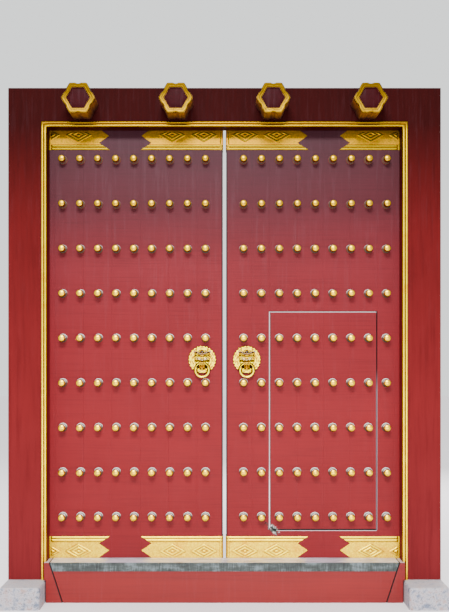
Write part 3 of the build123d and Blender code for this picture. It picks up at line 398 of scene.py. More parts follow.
def dressedGranite(name, look):
    material, add, shader, place, normal = newMaterial(name, {})
    up = add("SeparateXYZ", sources={0: normal}).outputs["Z"]
    clouds = add("TexNoise", {"Scale": 17.0, "Detail": 5.0, "Roughness": 0.65}, {0: place})
    stops = [(0.36, look["blue"]), (0.5, look["pale"]), (0.66, look["pink"])]
    base = add("ValToRGB", {"stops": stops}, {0: clouds})
    grains = add("TexVoronoi", {"Scale": 230.0}, {0: place})  # crystals of about 4 mm
    tint = add("ValToRGB", {"stops": [(0.1, 0.62), (0.5, 0.9), (0.9, 1.0)]}, {0: grains.outputs["Color"]})
    colour = add("Mix", {"data_type": "RGBA", "blend_type": "MULTIPLY", 0: 0.8}, {6: base, 7: tint})
    mica = add("TexNoise", {"Scale": 85.0, "Detail": 3.0, "Roughness": 0.7}, {0: place})
    dark = add("MapRange", {1: 0.56, 2: 0.66, 4: 0.75}, {0: mica})
    worn = add("MapRange", {1: 0.5, 2: 0.95, 4: 0.5}, {0: up})
    colour = layered(add, colour, [(dark, look["fleck"]), (worn, look["trodden"])])
    chisel = drawnNoise(add, place, look["chisel"], 6.0, 0.7)
    return dress(material, add, shader, colour, (0.62, 0.85, grains), (0.6, 0.004, chisel))


# Galvanised sheet on the threshold: scuffed pale on top, stained and dull on the flange
sheetLook = {"scuffed": "dcd6e4", "worn": "a39ca6", "flange": "39413f", "stain": "1f2425", "bright": "626d70"}


def wornSheet(name, look):
    material, add, shader, place, normal = newMaterial(name, {"Metallic": 0.35})
    up = add("SeparateXYZ", sources={0: normal}).outputs["Z"]
    stains = drawnNoise(add, place, (7, 20, 22), 6.0, 0.65)
    runs = drawnNoise(add, place, (95, 20, 12), 4.0, 0.6)  # 10 mm wide runs of rain
    both = add("Math", {"operation": "MULTIPLY_ADD", 1: 0.55}, {0: runs, 2: stains})
    stops = [(0.58, look["stain"]), (0.77, look["flange"]), (0.95, look["bright"])]
    flange = add("ValToRGB", {"stops": stops}, {0: both})
    scuffs = add("ValToRGB", {"stops": [(0.3, look["worn"]), (0.55, look["scuffed"])]}, {0: stains})
    upward = add("MapRange", {1: 0.5, 2: 0.8}, {0: up})
    colour = layered(add, flange, [(upward, scuffs)])
    return dress(material, add, shader, colour, (0.38, 0.62, stains), (0.5, 0.003, stains))


# Forged iron: nearly black scale with rust in its pits, and a dull shine on what is rubbed
ironLook = {"scale": "2a2625", "rust": "5b3322", "worn": "5c5a58"}


def forgedIron(name, look):
    material, add, shader, place, normal = newMaterial(name, {"Metallic": 0.7})
    pits = add("TexNoise", {"Scale": 60.0, "Detail": 6.0, "Roughness": 0.65}, {0: place})
    stops = [(0.35, look["rust"]), (0.5, look["scale"]), (0.7, look["worn"])]
    colour = add("ValToRGB", {"stops": stops}, {0: pits})
    hammer = add("TexVoronoi", {"feature": "SMOOTH_F1", "Scale": 55.0}, {0: place})  # 18 mm hammer marks
    return dress(material, add, shader, colour, (0.42, 0.75, pits), (0.5, 0.002, hammer))


# Old pine, oiled: growth rings stretched along the piece, greyed by dust
timberLook = {"early": "64401f", "late": "20100a", "dust": "6a5646", "dusty": 0.28}


def oldPine(name, look, along):
    material, add, shader, place, normal = newMaterial(name, {"Specular IOR Level": 0.2})
    scale = [26, 26, 26]  # with the noise's own 2.4, grain about 16 mm wide
    scale["XYZ".index(along)] = 1.1
    drawn = add("Mapping", {"Scale": scale}, {0: place})
    warp = add("TexNoise", {"Scale": 0.8, "Detail": 3.0}, {0: drawn})
    grain = add("TexNoise", {"Scale": 2.4, "Detail": 8.0, "Roughness": 0.7, "Distortion": 1.2}, {0: drawn})
    wood = add("ValToRGB", {"stops": [(0.40, look["late"]), (0.56, look["early"])]}, {0: grain})
    settled = add("MapRange", {1: 0.35, 2: 0.75, 4: look["dusty"]}, {0: warp})
    colour = layered(add, wood, [(settled, look["dust"])])
    return dress(material, add, shader, colour, (0.5, 0.8, grain), (0.45, 0.002, grain))


leafLacquer = redLacquer("red lacquer on the leaves", lacquerLook["leaf"])
frameLacquer = redLacquer("red lacquer on the frame", lacquerLook["frame"])
panelLacquer = redLacquer("red lacquer in the pins", lacquerLook["panel"])
thresholdLacquer = redLacquer("red lacquer on the threshold", lacquerLook["threshold"])
wrapGilt = giltMetal("embossed gilt sheet", goldLook["wrap"])
mouldingGilt = giltMetal("gold leaf on the moulding", goldLook["moulding"])
shadedPinGilt = giltMetal("gold leaf on the pins", goldLook["pin"])
knockerGilt = giltMetal("gilt cast brass", goldLook["knocker"])
ringGilt = giltMetal("gilt brass ring", goldLook["ring"])
knobGilt = giltKnob("gilded turned wood", studGold)
pinOchre = ochreFlutes("ochre on fluted wood", ochreLook)
granite = dressedGranite("dressed granite", graniteLook)
capSheet = wornSheet("galvanised sheet", sheetLook)
iron = forgedIron("forged iron", ironLook)
pineAcross = oldPine("old pine, grain across", timberLook, "X")
pineUpright = oldPine("old pine, grain upright", timberLook, "Z")

finishes = {
    leafLacquer: ["left_pivot_stile", "left_planks", "left_meeting_stile", "right_pivot_stile",
                  "right_meeting_stile", "right_inner_plank", "right_outer_plank", "right_upper_planks",
                  "right_lower_planks", "wicket_planks"],
    frameLacquer: ["left_jamb", "right_jamb", "lintel"],
    thresholdLacquer: ["threshold_board", "left_threshold_cheek", "right_threshold_cheek"],
    pinOchre: ["hexagon_pin_1", "hexagon_pin_2", "hexagon_pin_3", "hexagon_pin_4"],
    granite: ["left_pillow_stone", "right_pillow_stone"],
    capSheet: ["threshold_cap"],
    iron: ["left_pivot_socket", "right_pivot_socket", "left_pivot_shoe", "right_pivot_shoe",
           "left_bar_staples", "right_bar_keeper", "wicket_pintles", "wicket_straps"],
    pineAcross: ["pivot_beam", "left_battens", "right_battens", "wicket_battens", "crossbar"],
    pineUpright: ["pin_wedges", "crossbar_peg"],
}
for material, nodes in finishes.items():
    for node in nodes:
        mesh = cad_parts[node].data
        mesh.materials.clear()
        mesh.materials.append(material)
print("materials made:", len(bpy.data.materials))


def roundTurn(steps):
    # Angles of so many even steps round a full turn
    return np.arange(steps) * 2 * pi / steps


def gridQuads(rows, columns, closedRows=False, closedColumns=False):
    # Quads between neighbours on a grid of points kept row by row
    row, column = np.meshgrid(np.arange(rows if closedRows else rows - 1),
                              np.arange(columns if closedColumns else columns - 1), indexing="ij")
    below, beside = (row + 1) % rows * columns, (column + 1) % columns
    row = row * columns
    return np.stack((row + column, row + beside, below + beside, below + column), -1).reshape(-1, 4)


def repeatQuads(quads, count, step):
    # The same quads for so many sets of points, step points apart
    return (quads[None] + step * np.arange(count)[:, None, None]).reshape(-1, 4)


def shellQuads(rows, columns):
    # Two matching grids, one after the other, joined round their edges into a closed shell
    outer = gridQuads(rows, columns)
    grid = np.arange(rows * columns).reshape(rows, columns)
    edge = np.concatenate([grid[0, :-1], grid[:-1, -1], grid[-1, :0:-1], grid[:0:-1, 0]])
    rim = np.stack([edge, np.roll(edge, -1), np.roll(edge, -1) + rows * columns, edge + rows * columns], -1)
    return np.concatenate([outer, outer[:, ::-1] + rows * columns, rim])


def hollowness(height, reach, depth):
    # How far each point lies under the mean of its surroundings, as a share of depth
    mean = height
    for _ in range(reach):
        padded = np.pad(mean, 1, mode="edge")
        mean = (padded[:-2, 1:-1] + padded[2:, 1:-1] + padded[1:-1, :-2] + padded[1:-1, 2:]) / 4
    return np.clip((mean - height) / depth, 0, 1)


def addPiece(name, points, quads, material, body, replaced=(), hollow=None, crease=40, silver=None):
    # Points in millimetres and quads become a closed smooth mesh that rides on a body
    mesh = bpy.data.meshes.new(name)
    mesh.vertices.add(len(points))
    mesh.vertices.foreach_set("co", (points * mm).astype(np.float32).ravel())
    mesh.loops.add(quads.size)
    mesh.loops.foreach_set("vertex_index", quads.astype(np.int32).ravel())
    mesh.polygons.add(len(quads))
    mesh.polygons.foreach_set("loop_start", np.arange(0, quads.size, 4, dtype=np.int32))
    for layer, values in (("hollow", hollow), ("silver", silver)):
        if values is not None:
            attribute = mesh.attributes.new(layer, "FLOAT", "POINT")
            attribute.data.foreach_set("value", values.astype(np.float32).ravel())
    mesh.update(calc_edges=True)
    form = bmesh.new()
    form.from_mesh(mesh)
    bmesh.ops.remove_doubles(form, verts=form.verts, dist=0.00002)
    bmesh.ops.recalc_face_normals(form, faces=form.faces)
    form.to_mesh(mesh)
    form.free()
    mesh.shade_smooth()
    mesh.set_sharp_from_angle(angle=radians(crease))
    mesh.materials.append(material)
    piece = bpy.data.objects.new(name, mesh)
    bpy.context.collection.objects.link(piece)
    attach(piece, body)
    if replaced:
        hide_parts(*replaced)
    return piece


def nodeBox(node):
    # Lowest and highest corners of a node, in millimetres
    return [np.array(corner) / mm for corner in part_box(node)]


def gridPlaces(across, levels, depth):
    # Every level at every place across, all at one depth
    x, z = np.meshgrid(across, levels)
    return np.stack([x.ravel(), np.full(x.size, depth), z.ravel()], -1)


def turnedHeads(profile, sides, places, facing, spread):
    # The profile's radius and height turned about the Y axis at each place; facing is -1 to the front
    chance = np.random.default_rng(7)
    profile = np.array(profile, float)
    angle = roundTurn(sides)
    size = 1 + spread * chance.uniform(-1, 1, len(places))
    radius = size[:, None, None] * profile[None, :, 0, None]
    x = places[:, 0, None, None] + radius * np.cos(angle)
    z = places[:, 2, None, None] + radius * np.sin(angle)
    y = places[:, 1, None, None] + facing * profile[None, :, 1, None] + 0 * angle
    points = np.stack([x, np.broadcast_to(y, x.shape), z], -1).reshape(-1, 3)
    one = gridQuads(len(profile), sides, closedColumns=True)
    return points, repeatQuads(one, len(places), len(profile) * sides)


# Studs: a flat rim on the leaf, a waisted neck and a ball
studLook = {
    "rim": 39, "sides": 12, "spread": 0.015,
    "profile": [(0, 0), (38.5, 0), (37, 5), (24, 12), (20.5, 36), (26, 50), (31, 68), (25, 87), (0, 99.8)],
}


def studPlaces(node, columns, rows):
    # Even columns and rows between a node's sides, in from them by a rim's radius
    low, high = nodeBox(node)
    across = np.linspace(low[0] + studLook["rim"], high[0] - studLook["rim"], columns)
    levels = np.linspace(low[2] + studLook["rim"], high[2] - studLook["rim"], rows)
    return gridPlaces(across, levels, high[1])


leftStuds = studPlaces("left_studs", 9, 9)
wicketStuds = studPlaces("wicket_studs", 6, 5)
rightStuds = studPlaces("right_studs", 9, 9)
inWicket = (np.abs(rightStuds[:, None, :] - wicketStuds[None]).max(-1) < 1).any(1)
rightStuds = rightStuds[~inWicket]
studded = (("left", leftStuds, "left_leaf"), ("right", rightStuds, "right_leaf"),
           ("wicket", wicketStuds, "wicket"))
for name, places, body in studded:
    points, quads = turnedHeads(studLook["profile"], studLook["sides"], places, -1, studLook["spread"])
    addPiece(name + "GiltStuds", points, quads, knobGilt, body, [name + "_studs"])
print("studs made")


# Clenched nail heads behind the studs, and smaller ones through the iron plates
nailLook = {
    "sides": 8, "spread": 0.06,
    "clenched": [(0, 0), (11, 0), (11, 1.2), (8, 3.6), (3.5, 4.9), (0, 5)],
    "driven": [(0, 0), (8.5, 0), (8.5, 0.8), (6.4, 2.8), (3, 3.9), (0, 4.1)],
    "strap": {"hinge": 3, "half": 28, "middle": 130, "sheet": 6, "along": (70, 190, 310, 410)},
    "pintle": {"beside": (46, 134), "level": (-26, 12)},
    "staple": {"places": (-120, -760), "keeper": 200, "sheet": 8, "beside": 43, "level": 72},
}


def addNails(name, places, body, kind):
    # The kind's profile turned at every place, standing out to the back
    points, quads = turnedHeads(nailLook[kind], nailLook["sides"], places, 1, nailLook["spread"])
    addPiece(name, points, quads, iron, body)


battenBack = nodeBox("left_battens")[1][1]
for name, places, body in studded:
    behind = places.copy()
    behind[:, 1] = battenBack
    addNails(name + "ClenchedNails", behind, body, "clenched")

strap, pintle, staple = nailLook["strap"], nailLook["pintle"], nailLook["staple"]
leafBack = nodeBox("left_planks")[1][1]
low, high = nodeBox("wicket_planks")
hingeX = high[0] + strap["hinge"]
strapBox = nodeBox("wicket_straps")
strapLevels = np.array([strapBox[0][2] + strap["half"], (low[2] + high[2]) / 2 + strap["middle"],
                        strapBox[1][2] - strap["half"]])
addNails("strapNails", gridPlaces(hingeX - np.array(strap["along"]), strapLevels, leafBack + strap["sheet"]),
         "wicket", "driven")
plateLevels = (strapLevels[:, None] + np.array(pintle["level"])).ravel()
platePlaces = gridPlaces(hingeX + np.array(pintle["beside"]), plateLevels, leafBack + strap["sheet"])
barLevel = sum(nodeBox("left_bar_staples"))[2] / 2
sides = np.array((-1, 1))
keeperPlaces = gridPlaces(staple["keeper"] + sides * staple["beside"], barLevel + sides * staple["level"],
                          leafBack + staple["sheet"])
addNails("rightPlateNails", np.concatenate([platePlaces, keeperPlaces]), "right_leaf", "driven")
staplePlaces = [gridPlaces(place + sides * staple["beside"], barLevel + sides * staple["level"],
                           leafBack + staple["sheet"]) for place in staple["places"]]
addNails("stapleNails", np.concatenate(staplePlaces), "left_leaf", "driven")
print("nails made")


# Embossed sheet folded round the leaves' corners: two beads along one edge, a chain of double
# lozenges, and a zigzag end
wrapLook = {
    "sheet": 3, "tooth": 92, "second": 7, "rows": 80, "columns": 190, "bends": 14,
    "beads": (11, 35), "beadHalf": (9.5, 9.5), "beadHeight": (4.2, 4.0),
    "level": 126, "pitch": 267, "meetingFirst": 173, "hingeFirst": 1232, "half": (97, 53),
    "innerHalf": (53, 29), "line": 7, "lineHeight": 3.4, "boss": (9, 3.0), "border": (34, 4, 2.2),
    "amber": 0.22, "faint": 0.22,
    "reveal": 1462, "lintelFoot": 3924, "boardTop": 340, "fade": 8,
}


def hump(away, half):
    # One at its middle, falling with the square of the distance to nothing at its half width
    return np.clip(1 - (away / half) ** 2, 0, 1)


def bead(away, half, height):
    # Half-round bead: height at its middle, nothing beyond its half width
    return height * np.sqrt(hump(away, half))


def beads(fromEdge, look):
    # Half-round beads along the edge, each raised by the distance from its own middle
    relief = 0 * fromEdge
    for middle, half, height in zip(look["beads"], look["beadHalf"], look["beadHeight"]):
        relief = np.maximum(relief, bead(fromEdge - middle, half, height))
    return relief


def embossing(x, z, fromEdge, hinged, look):
    # Beads, and lozenges whose lines lie where |x| / half length + |z| / half height is one
    relief = beads(fromEdge, look)
    first = look["hingeFirst"] if hinged else look["meetingFirst"]
    number = np.clip(np.round((x - first) / look["pitch"]), 0, 1)
    offset = x - first - number * look["pitch"]
    for halfLength, halfHeight in (look["half"], look["innerHalf"]):
        slope = halfLength * halfHeight / np.hypot(halfLength, halfHeight)
        away = (np.abs(offset) / halfLength + np.abs(fromEdge - look["level"]) / halfHeight - 1) * slope
        inside = (fromEdge > look["beads"][1] + look["beadHalf"][1])
        relief = np.maximum(relief, inside * bead(away, look["line"], look["lineHeight"]))
    boss = np.hypot(offset / 1.5, fromEdge - look["level"])
    relief = np.maximum(relief, bead(boss, *look["boss"]))
    if not hinged:
        place, half, height = look["border"]
        relief = np.maximum(relief, bead(x - place, half, height))
        relief = np.where(x > place, relief, np.minimum(relief, height))
    for room in (look["reveal"] - x, look["lintelFoot"] - z, z - look["boardTop"]):
        relief = relief * np.clip(room / look["fade"], 0, 1)  # flat where the frame covers it
    return relief


def addWrap(node, look):
    # Rows run along the sheet: from the zigzag's tip over the front, round the edge and to the back
    # tip. The inner layer is the same path, one sheet's thickness in.
    low, high = nodeBox(node)
    side = -1 if node.startswith("left") else 1
    hinged = "hinge" in node
    near, far = sorted((abs(low[0]), abs(high[0])))
    front = nodeBox("left_planks")[0][1] - look["sheet"]
    back = high[1]
    tall = high[2] - low[2]
    fromEdge = np.linspace(0, tall, look["rows"])[:, None]
    z = low[2] + fromEdge if "top" in node else high[2] - fromEdge
    short = np.interp(fromEdge, tall * np.arange(5) / 4, (0, look["tooth"], look["second"], look["tooth"], 0))
    tip = near + short if hinged else far - short
    turn = np.linspace(0, 1, look["bends"])[None]
    run = np.linspace(0, 1, look["columns"])[None]
    radius = (back - front) / 2
    middle = (front + back) / 2
    layers = []
    for inset in (0, look["sheet"] - 0.2):
        if hinged:
            foldX = far - radius
            turnX = foldX + (radius - inset) * np.sin(turn * pi)
            turnY = middle - (radius - inset) * np.cos(turn * pi)
        else:
            foldX = near + look["sheet"]
            turnX = foldX - (look["sheet"] - inset) * np.sin(turn * pi)
            turnY = np.where(turn < 0.5, front + look["sheet"], back - look["sheet"])
            turnY = turnY - (look["sheet"] - inset) * np.cos(turn * pi)
        frontX = tip + (foldX - tip) * run
        relief = embossing(frontX, z + 0 * frontX, fromEdge + 0 * frontX, hinged, look) if inset == 0 else 0
        frontY = front + inset - relief + 0 * frontX
        backX = frontX[:, ::-4]
        x = np.concatenate([frontX, turnX + 0 * z, backX], 1)
        number = np.arange(backX.shape[1])
        ends = np.clip((number - 1) / 2, 0, 1) * np.clip(number[::-1] / 2, 0, 1)
        backY = back - inset + beads(fromEdge, look) * (inset == 0) * ends
        y = np.concatenate([frontY, turnY + 0 * z, backY], 1)
        layers.append(np.stack([side * x, y, z + 0 * x], -1))
        if inset == 0:
            raised = front - y
    rows, columns = raised.shape
    flat = np.where(np.arange(columns) < look["columns"], raised, 0)
    # painted shade: in the embossing's hollows, faint on the field, and the flat field tinted amber so that
    # the raised lines stand out bright
    field = fromEdge > look["beads"][1] + look["beadHalf"][1] + 3
    hollow = hollowness(flat, 5, 0.7) * np.where(field, look["faint"], 1.0)
    hollow = hollow + look["amber"] * field * (flat < 0.4)
    hollow = np.concatenate([hollow.ravel(), np.zeros(hollow.size)])
    points = np.concatenate([layer.reshape(-1, 3) for layer in layers])
    name = node.replace("_", " ").title().replace(" ", "") + "Sheet"
    body = "left_leaf" if side < 0 else "right_leaf"
    addPiece(name, points, shellQuads(rows, columns), wrapGilt, body, [node], hollow)


for node in sorted(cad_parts):
    if node.endswith("_wrap"):
        addWrap(node, wrapLook)
print("wraps made")


# Moulding of two reeds round the doorway, mitred at both upper corners
mouldingLook = {"strip": 6, "reed": 11.5, "steps": 11, "cuts": 60, "wave": 0.35}


def addMoulding(look):
    # The reeds' section as distance out from the doorway's edge and depth, carried round three sides
    low, high = nodeBox("top_moulding")
    stoneTop = nodeBox("left_moulding")[0][2]
    radius = look["reed"]
    half = (high[0] - low[0]) / 2 - 4 * radius
    arc = np.linspace(0, pi, look["steps"])
    section = [(0, 0), (0.2, -look["strip"])]
    for middle in (radius, 3 * radius):
        section += list(zip(middle - radius * 0.97 * np.cos(arc), -look["strip"] - radius * np.sin(arc)))
    section += [(4 * radius - 0.2, -look["strip"]), (4 * radius, 0)]
    out, depth = np.array(section).T
    share = np.linspace(0, 1, look["cuts"])[:, None]
    foot, head = stoneTop, low[2]
    upright = foot + share * (head + out - foot)
    left = np.stack([-half - out + 0 * upright, upright], -1)
    across = np.stack([(share * 2 - 1) * (half + out), head + out + 0 * share], -1)[1:-1]
    right = np.stack([half + out + 0 * upright, upright], -1)[::-1]
    path = np.concatenate([left, across, right])
    chance = np.random.default_rng(3)
    wave = look["wave"] * chance.uniform(-1, 1, len(path))[:, None] * (depth < -look["strip"])
    y = depth + wave
    points = np.stack([path[..., 0], y, path[..., 1]], -1)
    closing = points.mean(1, keepdims=True)[[0, -1]] + 0 * points[[0, -1]]
    points = np.concatenate([closing[:1], points, closing[1:]])
    rows, columns = points.shape[:2]
    # painted shade in the valley between the reeds and along their two edges
    valleys = ((2 * radius, 3), (0, 2), (4 * radius, 2))
    valley = sum(np.exp(-((out - place) / width) ** 2) for place, width in valleys)
    hollow = np.broadcast_to(0.9 * valley, (rows, columns))
    quads = gridQuads(rows, columns, closedColumns=True)
    addPiece("doorwayReeds", points.reshape(-1, 3), quads, mouldingGilt, "frame",
             ["left_moulding", "right_moulding", "top_moulding"], hollow, 70)


addMoulding(mouldingLook)
print("moulding made")


# Gilded rims and lacquered panels on the hexagonal pins
pinLook = {
    "flats": 240, "rim": 38, "blunt": 16, "flute": 40, "fluteDepth": 7, "over": 1.6, "angles": 288,
    # share of the way in across the rim, and height over the pin's front
    "section": [(0, -26), (0, -6), (0.02, -2), (0.07, 1.2), (0.16, 2.8), (0.30, 3.4), (0.50, 2.0),
                (0.64, 1.6), (0.78, 2.6), (0.90, 2.2), (0.98, 0.2), (1.0, -3), (1.0, -13), (0.5, -20)],
    # share of the way out across the panel, and depth under the pin's front
    "panel": [(0, 13.4), (0.5, 13.4), (1, 13.4), (1, 12.6), (0.92, 12.6), (0.86, 10.8), (0.6, 9.8),
              (0.3, 9.2), (0, 9)],
    # share of the way in across the rim, and how dark its painted shade is there
    "lines": [(0, 0), (0.45, 0), (0.57, 0.6), (0.7, 0), (0.88, 0), (0.93, 0.9), (1, 1)],
}


def pinOutline(angle, look):
    # Hexagon with blunt corners, and a round flute in the middle of each side
    half = look["flats"] / 2
    side = (angle % (pi / 3)) - pi / 6
    radius = half / np.cos(side)
    corner = (angle + pi / 6) % (pi / 3) - pi / 6
    centre = (half - look["blunt"]) / np.cos(pi / 6)
    bulge = np.sqrt(np.clip(look["blunt"] ** 2 - (centre * np.sin(corner)) ** 2, 0, None))
    blunt = centre * np.cos(corner) + bulge
    radius = np.where(np.abs(corner) < np.arctan2(look["blunt"] / 2, centre + look["blunt"] * np.cos(pi / 6)),
                      np.minimum(radius, blunt), radius)
    reach = half + look["flute"] - look["fluteDepth"]
    inside = look["flute"] ** 2 - (reach * np.sin(side)) ** 2
    flute = reach * np.cos(side) - np.sqrt(np.clip(inside, 0, None))
    return np.where(inside > 0, np.minimum(radius, flute), radius)


def addPins(look):
    # Rims carry the section round the outline. Panels are the inner hexagon at smaller and smaller shares.
    angle = roundTurn(look["angles"])
    outer = pinOutline(angle, look) + look["over"]
    inner = (look["flats"] / 2 - look["rim"]) / np.cos((angle % (pi / 3)) - pi / 6)
    section, panel = np.array(look["section"]), np.array(look["panel"])
    radius = outer + (inner - outer) * section[:, :1]
    rows, columns = radius.shape
    rims, panels = [], []
    cos, sin = np.cos(angle), np.sin(angle)
    for number in (1, 2, 3, 4):
        low, high = nodeBox(f"hexagon_pin_{number}")
        x = (low[0] + high[0]) / 2
        z = (low[2] + high[2]) / 2
        y = low[1] - section[:, 1:] + 0 * radius
        rims.append(np.stack([x + radius * cos, y, z + radius * sin], -1).reshape(-1, 3))
        spread = inner * panel[:, :1]
        y = low[1] + panel[:, 1:] + 0 * spread
        panels.append(np.stack([x + spread * cos, y, z + spread * sin], -1).reshape(-1, 3))
    quads = repeatQuads(gridQuads(rows, columns, True, True), 4, rows * columns)
    lines = np.interp(section[:, :1], *np.array(look["lines"]).T)
    lines = np.broadcast_to(lines, (4, rows, columns))
    addPiece("pinRims", np.concatenate(rims), quads, shadedPinGilt, "frame", (), lines, 50)
    rows = len(panel)
    quads = repeatQuads(gridQuads(rows, columns, closedColumns=True), 4, rows * columns)
    addPiece("pinPanels", np.concatenate(panels), quads, panelLacquer, "frame", (), None, 30)


addPins(pinLook)
print("pins made")


# Knockers: a beast's mask cast in one with its curled mane, and the ring in its jaws
maskLook = {
    "rings": 130, "angles": 360, "scallops": 26, "rim": 109, "lobe": 9, "ringRadius": 55, "ringBar": 12,
    "ringStand": 38, "ringDrop": 89, "ringWider": 1.0, "ringThinner": 1.25, "muzzleHalf": 25, "muzzleWall": 9,
    # rings of locks: how many, how far out, radius, height, base and turn
    "locks": [(26, 102, 13.8, 11, 10, 0.0), (22, 82, 12.8, 12, 12, 0.5)],
    # mounds: across, up, radius, height, base, and how much each is squeezed across and upwards
    "crown": [(0, 66, 17, 26, 12, 1.3, 1), (20, 63, 12, 20, 12, 1, 1.1), (25, 10, 14, 18, 20, 1, 1)],
    "face": [(50, 5, 13, 17, 16, 1, 1), (62, 20, 12, 14, 14, 1, 1), (0, -5, 15, 34, 20, 1, 1.15),
             (17, -8, 10, 24, 20, 1, 1.2), (46, -22, 19, 10.5, 14, 1, 1), (38, -52, 17, 9.5, 14, 1, 1)],
    # dark folds across the face, painted shade: level, half width, strength and rise towards the sides
    "folds": [(42, 3.6, 0.9, 0.08), (27, 5.0, 1.0, 0.10), (-13, 6.5, 1.3, 0.05), (84, 3.4, 0.7, -0.42)],
    # lip, chin and teeth, then the fangs: place across, out and up, and half sizes
    "jaw": [((0, 24, -66), (26, 29, 8)), ((0, 26, -78), (22, 22, 15)), ((0, 40, -61.5), (19, 9, 4.5))],
    "fangs": [((-17, 51, -63), (2, 3, 5)), ((17, 51, -63), (2, 3, 5))],
}


def dome(away, radius, height):
    # Smooth mound: height at its middle, falling to nothing at its radius
    return height * hump(away, radius) ** 0.7


def curls(u, v, count, middle, size, height, turn):
    # A ring of spiral locks: each is a mound with a spiral groove that winds out from its middle
    angle = np.arctan2(v, u)
    step = 2 * pi / count
    near = (np.round(angle / step - turn) + turn) * step
    du = u - middle * np.cos(near)
    dv = v - middle * np.sin(near)
    away = np.hypot(du, dv)
    twist = np.arctan2(dv, du) - near
    groove = 0.5 + 0.5 * np.cos(twist + away * 0.75)
    return dome(away, size, height) - 2.2 * groove * (away < size) * np.clip(away / 4, 0, 1)


def addMounds(height, side, v, mounds):
    # The highest of the relief and each mound: its base, and a dome round its own squeezed middle
    for across, up, radius, tall, base, narrow, low in mounds:
        away = np.hypot((side - across) * narrow, (v - up) * low)
        height = np.maximum(height, base + dome(away, radius, tall))
    return height


def maskRelief(u, v, rim, look):
    # Height over the leaf: mane, face, brow, eyes, nose and cheeks, joined by taking the highest
    away = np.hypot(u, v)
    side = np.abs(u)
    height = 9 + dome(away, 112, 5)
    for count, middle, size, tall, base, turn in look["locks"]:
        height = np.maximum(height, base + curls(u, v, count, middle, size, tall, turn))
    face = 17 + dome(away, 72, 14)
    height = np.where(away < 70, np.maximum(face, height * (away > 62)), height)
    # forehead band with strands, curling up at its ends, flames over it and eyes under it
    bandMiddle = 47 - 5 * (side / 56) ** 2 + 12 * np.clip((side - 42) / 18, 0, 1) ** 2
    band = bead(v - bandMiddle, 14, 27) * (side < 60)
    band = band - 2.0 * (0.5 + 0.5 * np.cos(v * 1.05 - side * 0.12)) * (band > 4)
    height = np.maximum(height, 13 + band)
    height = addMounds(height, side, v, look["crown"])
    # drilled pupils, heavy lids and sunk sockets
    height = height - 4.5 * hump(np.hypot(side - 24, v - 9), 4.2)
    lid = np.abs(np.hypot((side - 25) * 0.9, v - 6) - 17)
    height = np.maximum(height, (24 + bead(lid, 4.0, 12)) * (v > 10) * (side < 44))
    socket = hump(np.hypot(side - 25, v - 9) - 16, 4)
    height = height - 5 * socket * (v < 12) * (v > -12) * (side < 46)
    # tufts beside the eyes, a nose with spread nostrils, and cheeks
    bridge = 40 - 0.45 * np.clip(v, -6, 34)
    height = np.maximum(height, bridge * hump(u, 9) ** 0.4 * (v > -14) * (v < 36))
    height = addMounds(height, side, v, look["face"])
    # all of it kept under the path of the ring
    swing = np.clip((-14 - v) / 3, 0, 1)
    room = 24 - 4.5 * np.clip((56 - side) / 6, 0, 1) * (v > -62)
    height = np.where(swing > 0, np.minimum(height, room + (1 - swing) * 34), height)
    edge = np.clip((rim - away) / 5, 0, 1)
    return height * np.sqrt(1 - (1 - edge) ** 2)


def maskShade(u, v, look):
    # Painted shade in the mask's hollows: bands along its brow, eyes and lips, the crescent of its mouth, a
    # line along the lower edge of its rim, the ring's shadow on the face, and the grooves of the locks
    side = np.abs(u)
    face = side < 60
    lines = 0.8 * np.clip(1 - (np.abs(side - 60) / 7) ** 2 - ((v + 14) / 14) ** 2, 0, 1)
    lines = np.maximum(lines, 0.7 * hump(side - 62, 5) * (v < 50) * (v > 20))
    for level, half, strength, bend in look["folds"]:
        away = np.abs(v - level - bend * side) / half
        lines = np.maximum(lines, strength * np.clip(1.2 - away ** 2, 0, 1) * face)
    mouth = ((u / 55) ** 2 + ((v + 31) / 50) ** 2 < 1) & (v < -31)
    lip = (u / 46) ** 2 + ((v + 31) / 15) ** 2 < 1
    rim = hump(np.hypot(u, v) - 113, 4) * (v < -98)
    away = np.hypot(u, v + 89)
    # painted shadow of the ring beside its inner and outer edges
    ringShadow = np.maximum(0.85 * (np.abs(away - 41.5) < 4), 0.8 * (np.abs(away - 70) < 3)) * (v > -120)
    mane = np.hypot(u, v)
    spiral = 0.5 + 0.5 * np.sin(np.arctan2(v, u) * 11 + mane * 0.09)
    locks = 0.68 * spiral * (0.5 + 0.5 * np.sin(mane * 0.33)) * (mane > 70)
    return np.max([lines, 0.95 * (mouth & ~lip), rim, ringShadow, locks], 0)


def maskWearAndHighlight(u, v):
    # One on the worn brow band, minus one on the eyes and nose for a painted highlight, nought elsewhere
    side = np.abs(u)
    top = np.maximum(60 + 0.24 * side, 86 - 1.1 * side)
    band = np.clip(np.minimum(v - 40 - 0.22 * side, top - v) / 3, 0, 1) * (side < 73)
    eyes = np.clip(1.4 - ((side - 27) / 17) ** 4 - ((v - 8) / 11) ** 2, 0, 1)
    nose = np.clip(1.2 - (u / 15) ** 2 - ((v + 4) / 10) ** 2, 0, 1)
    return band - np.maximum(eyes, nose)


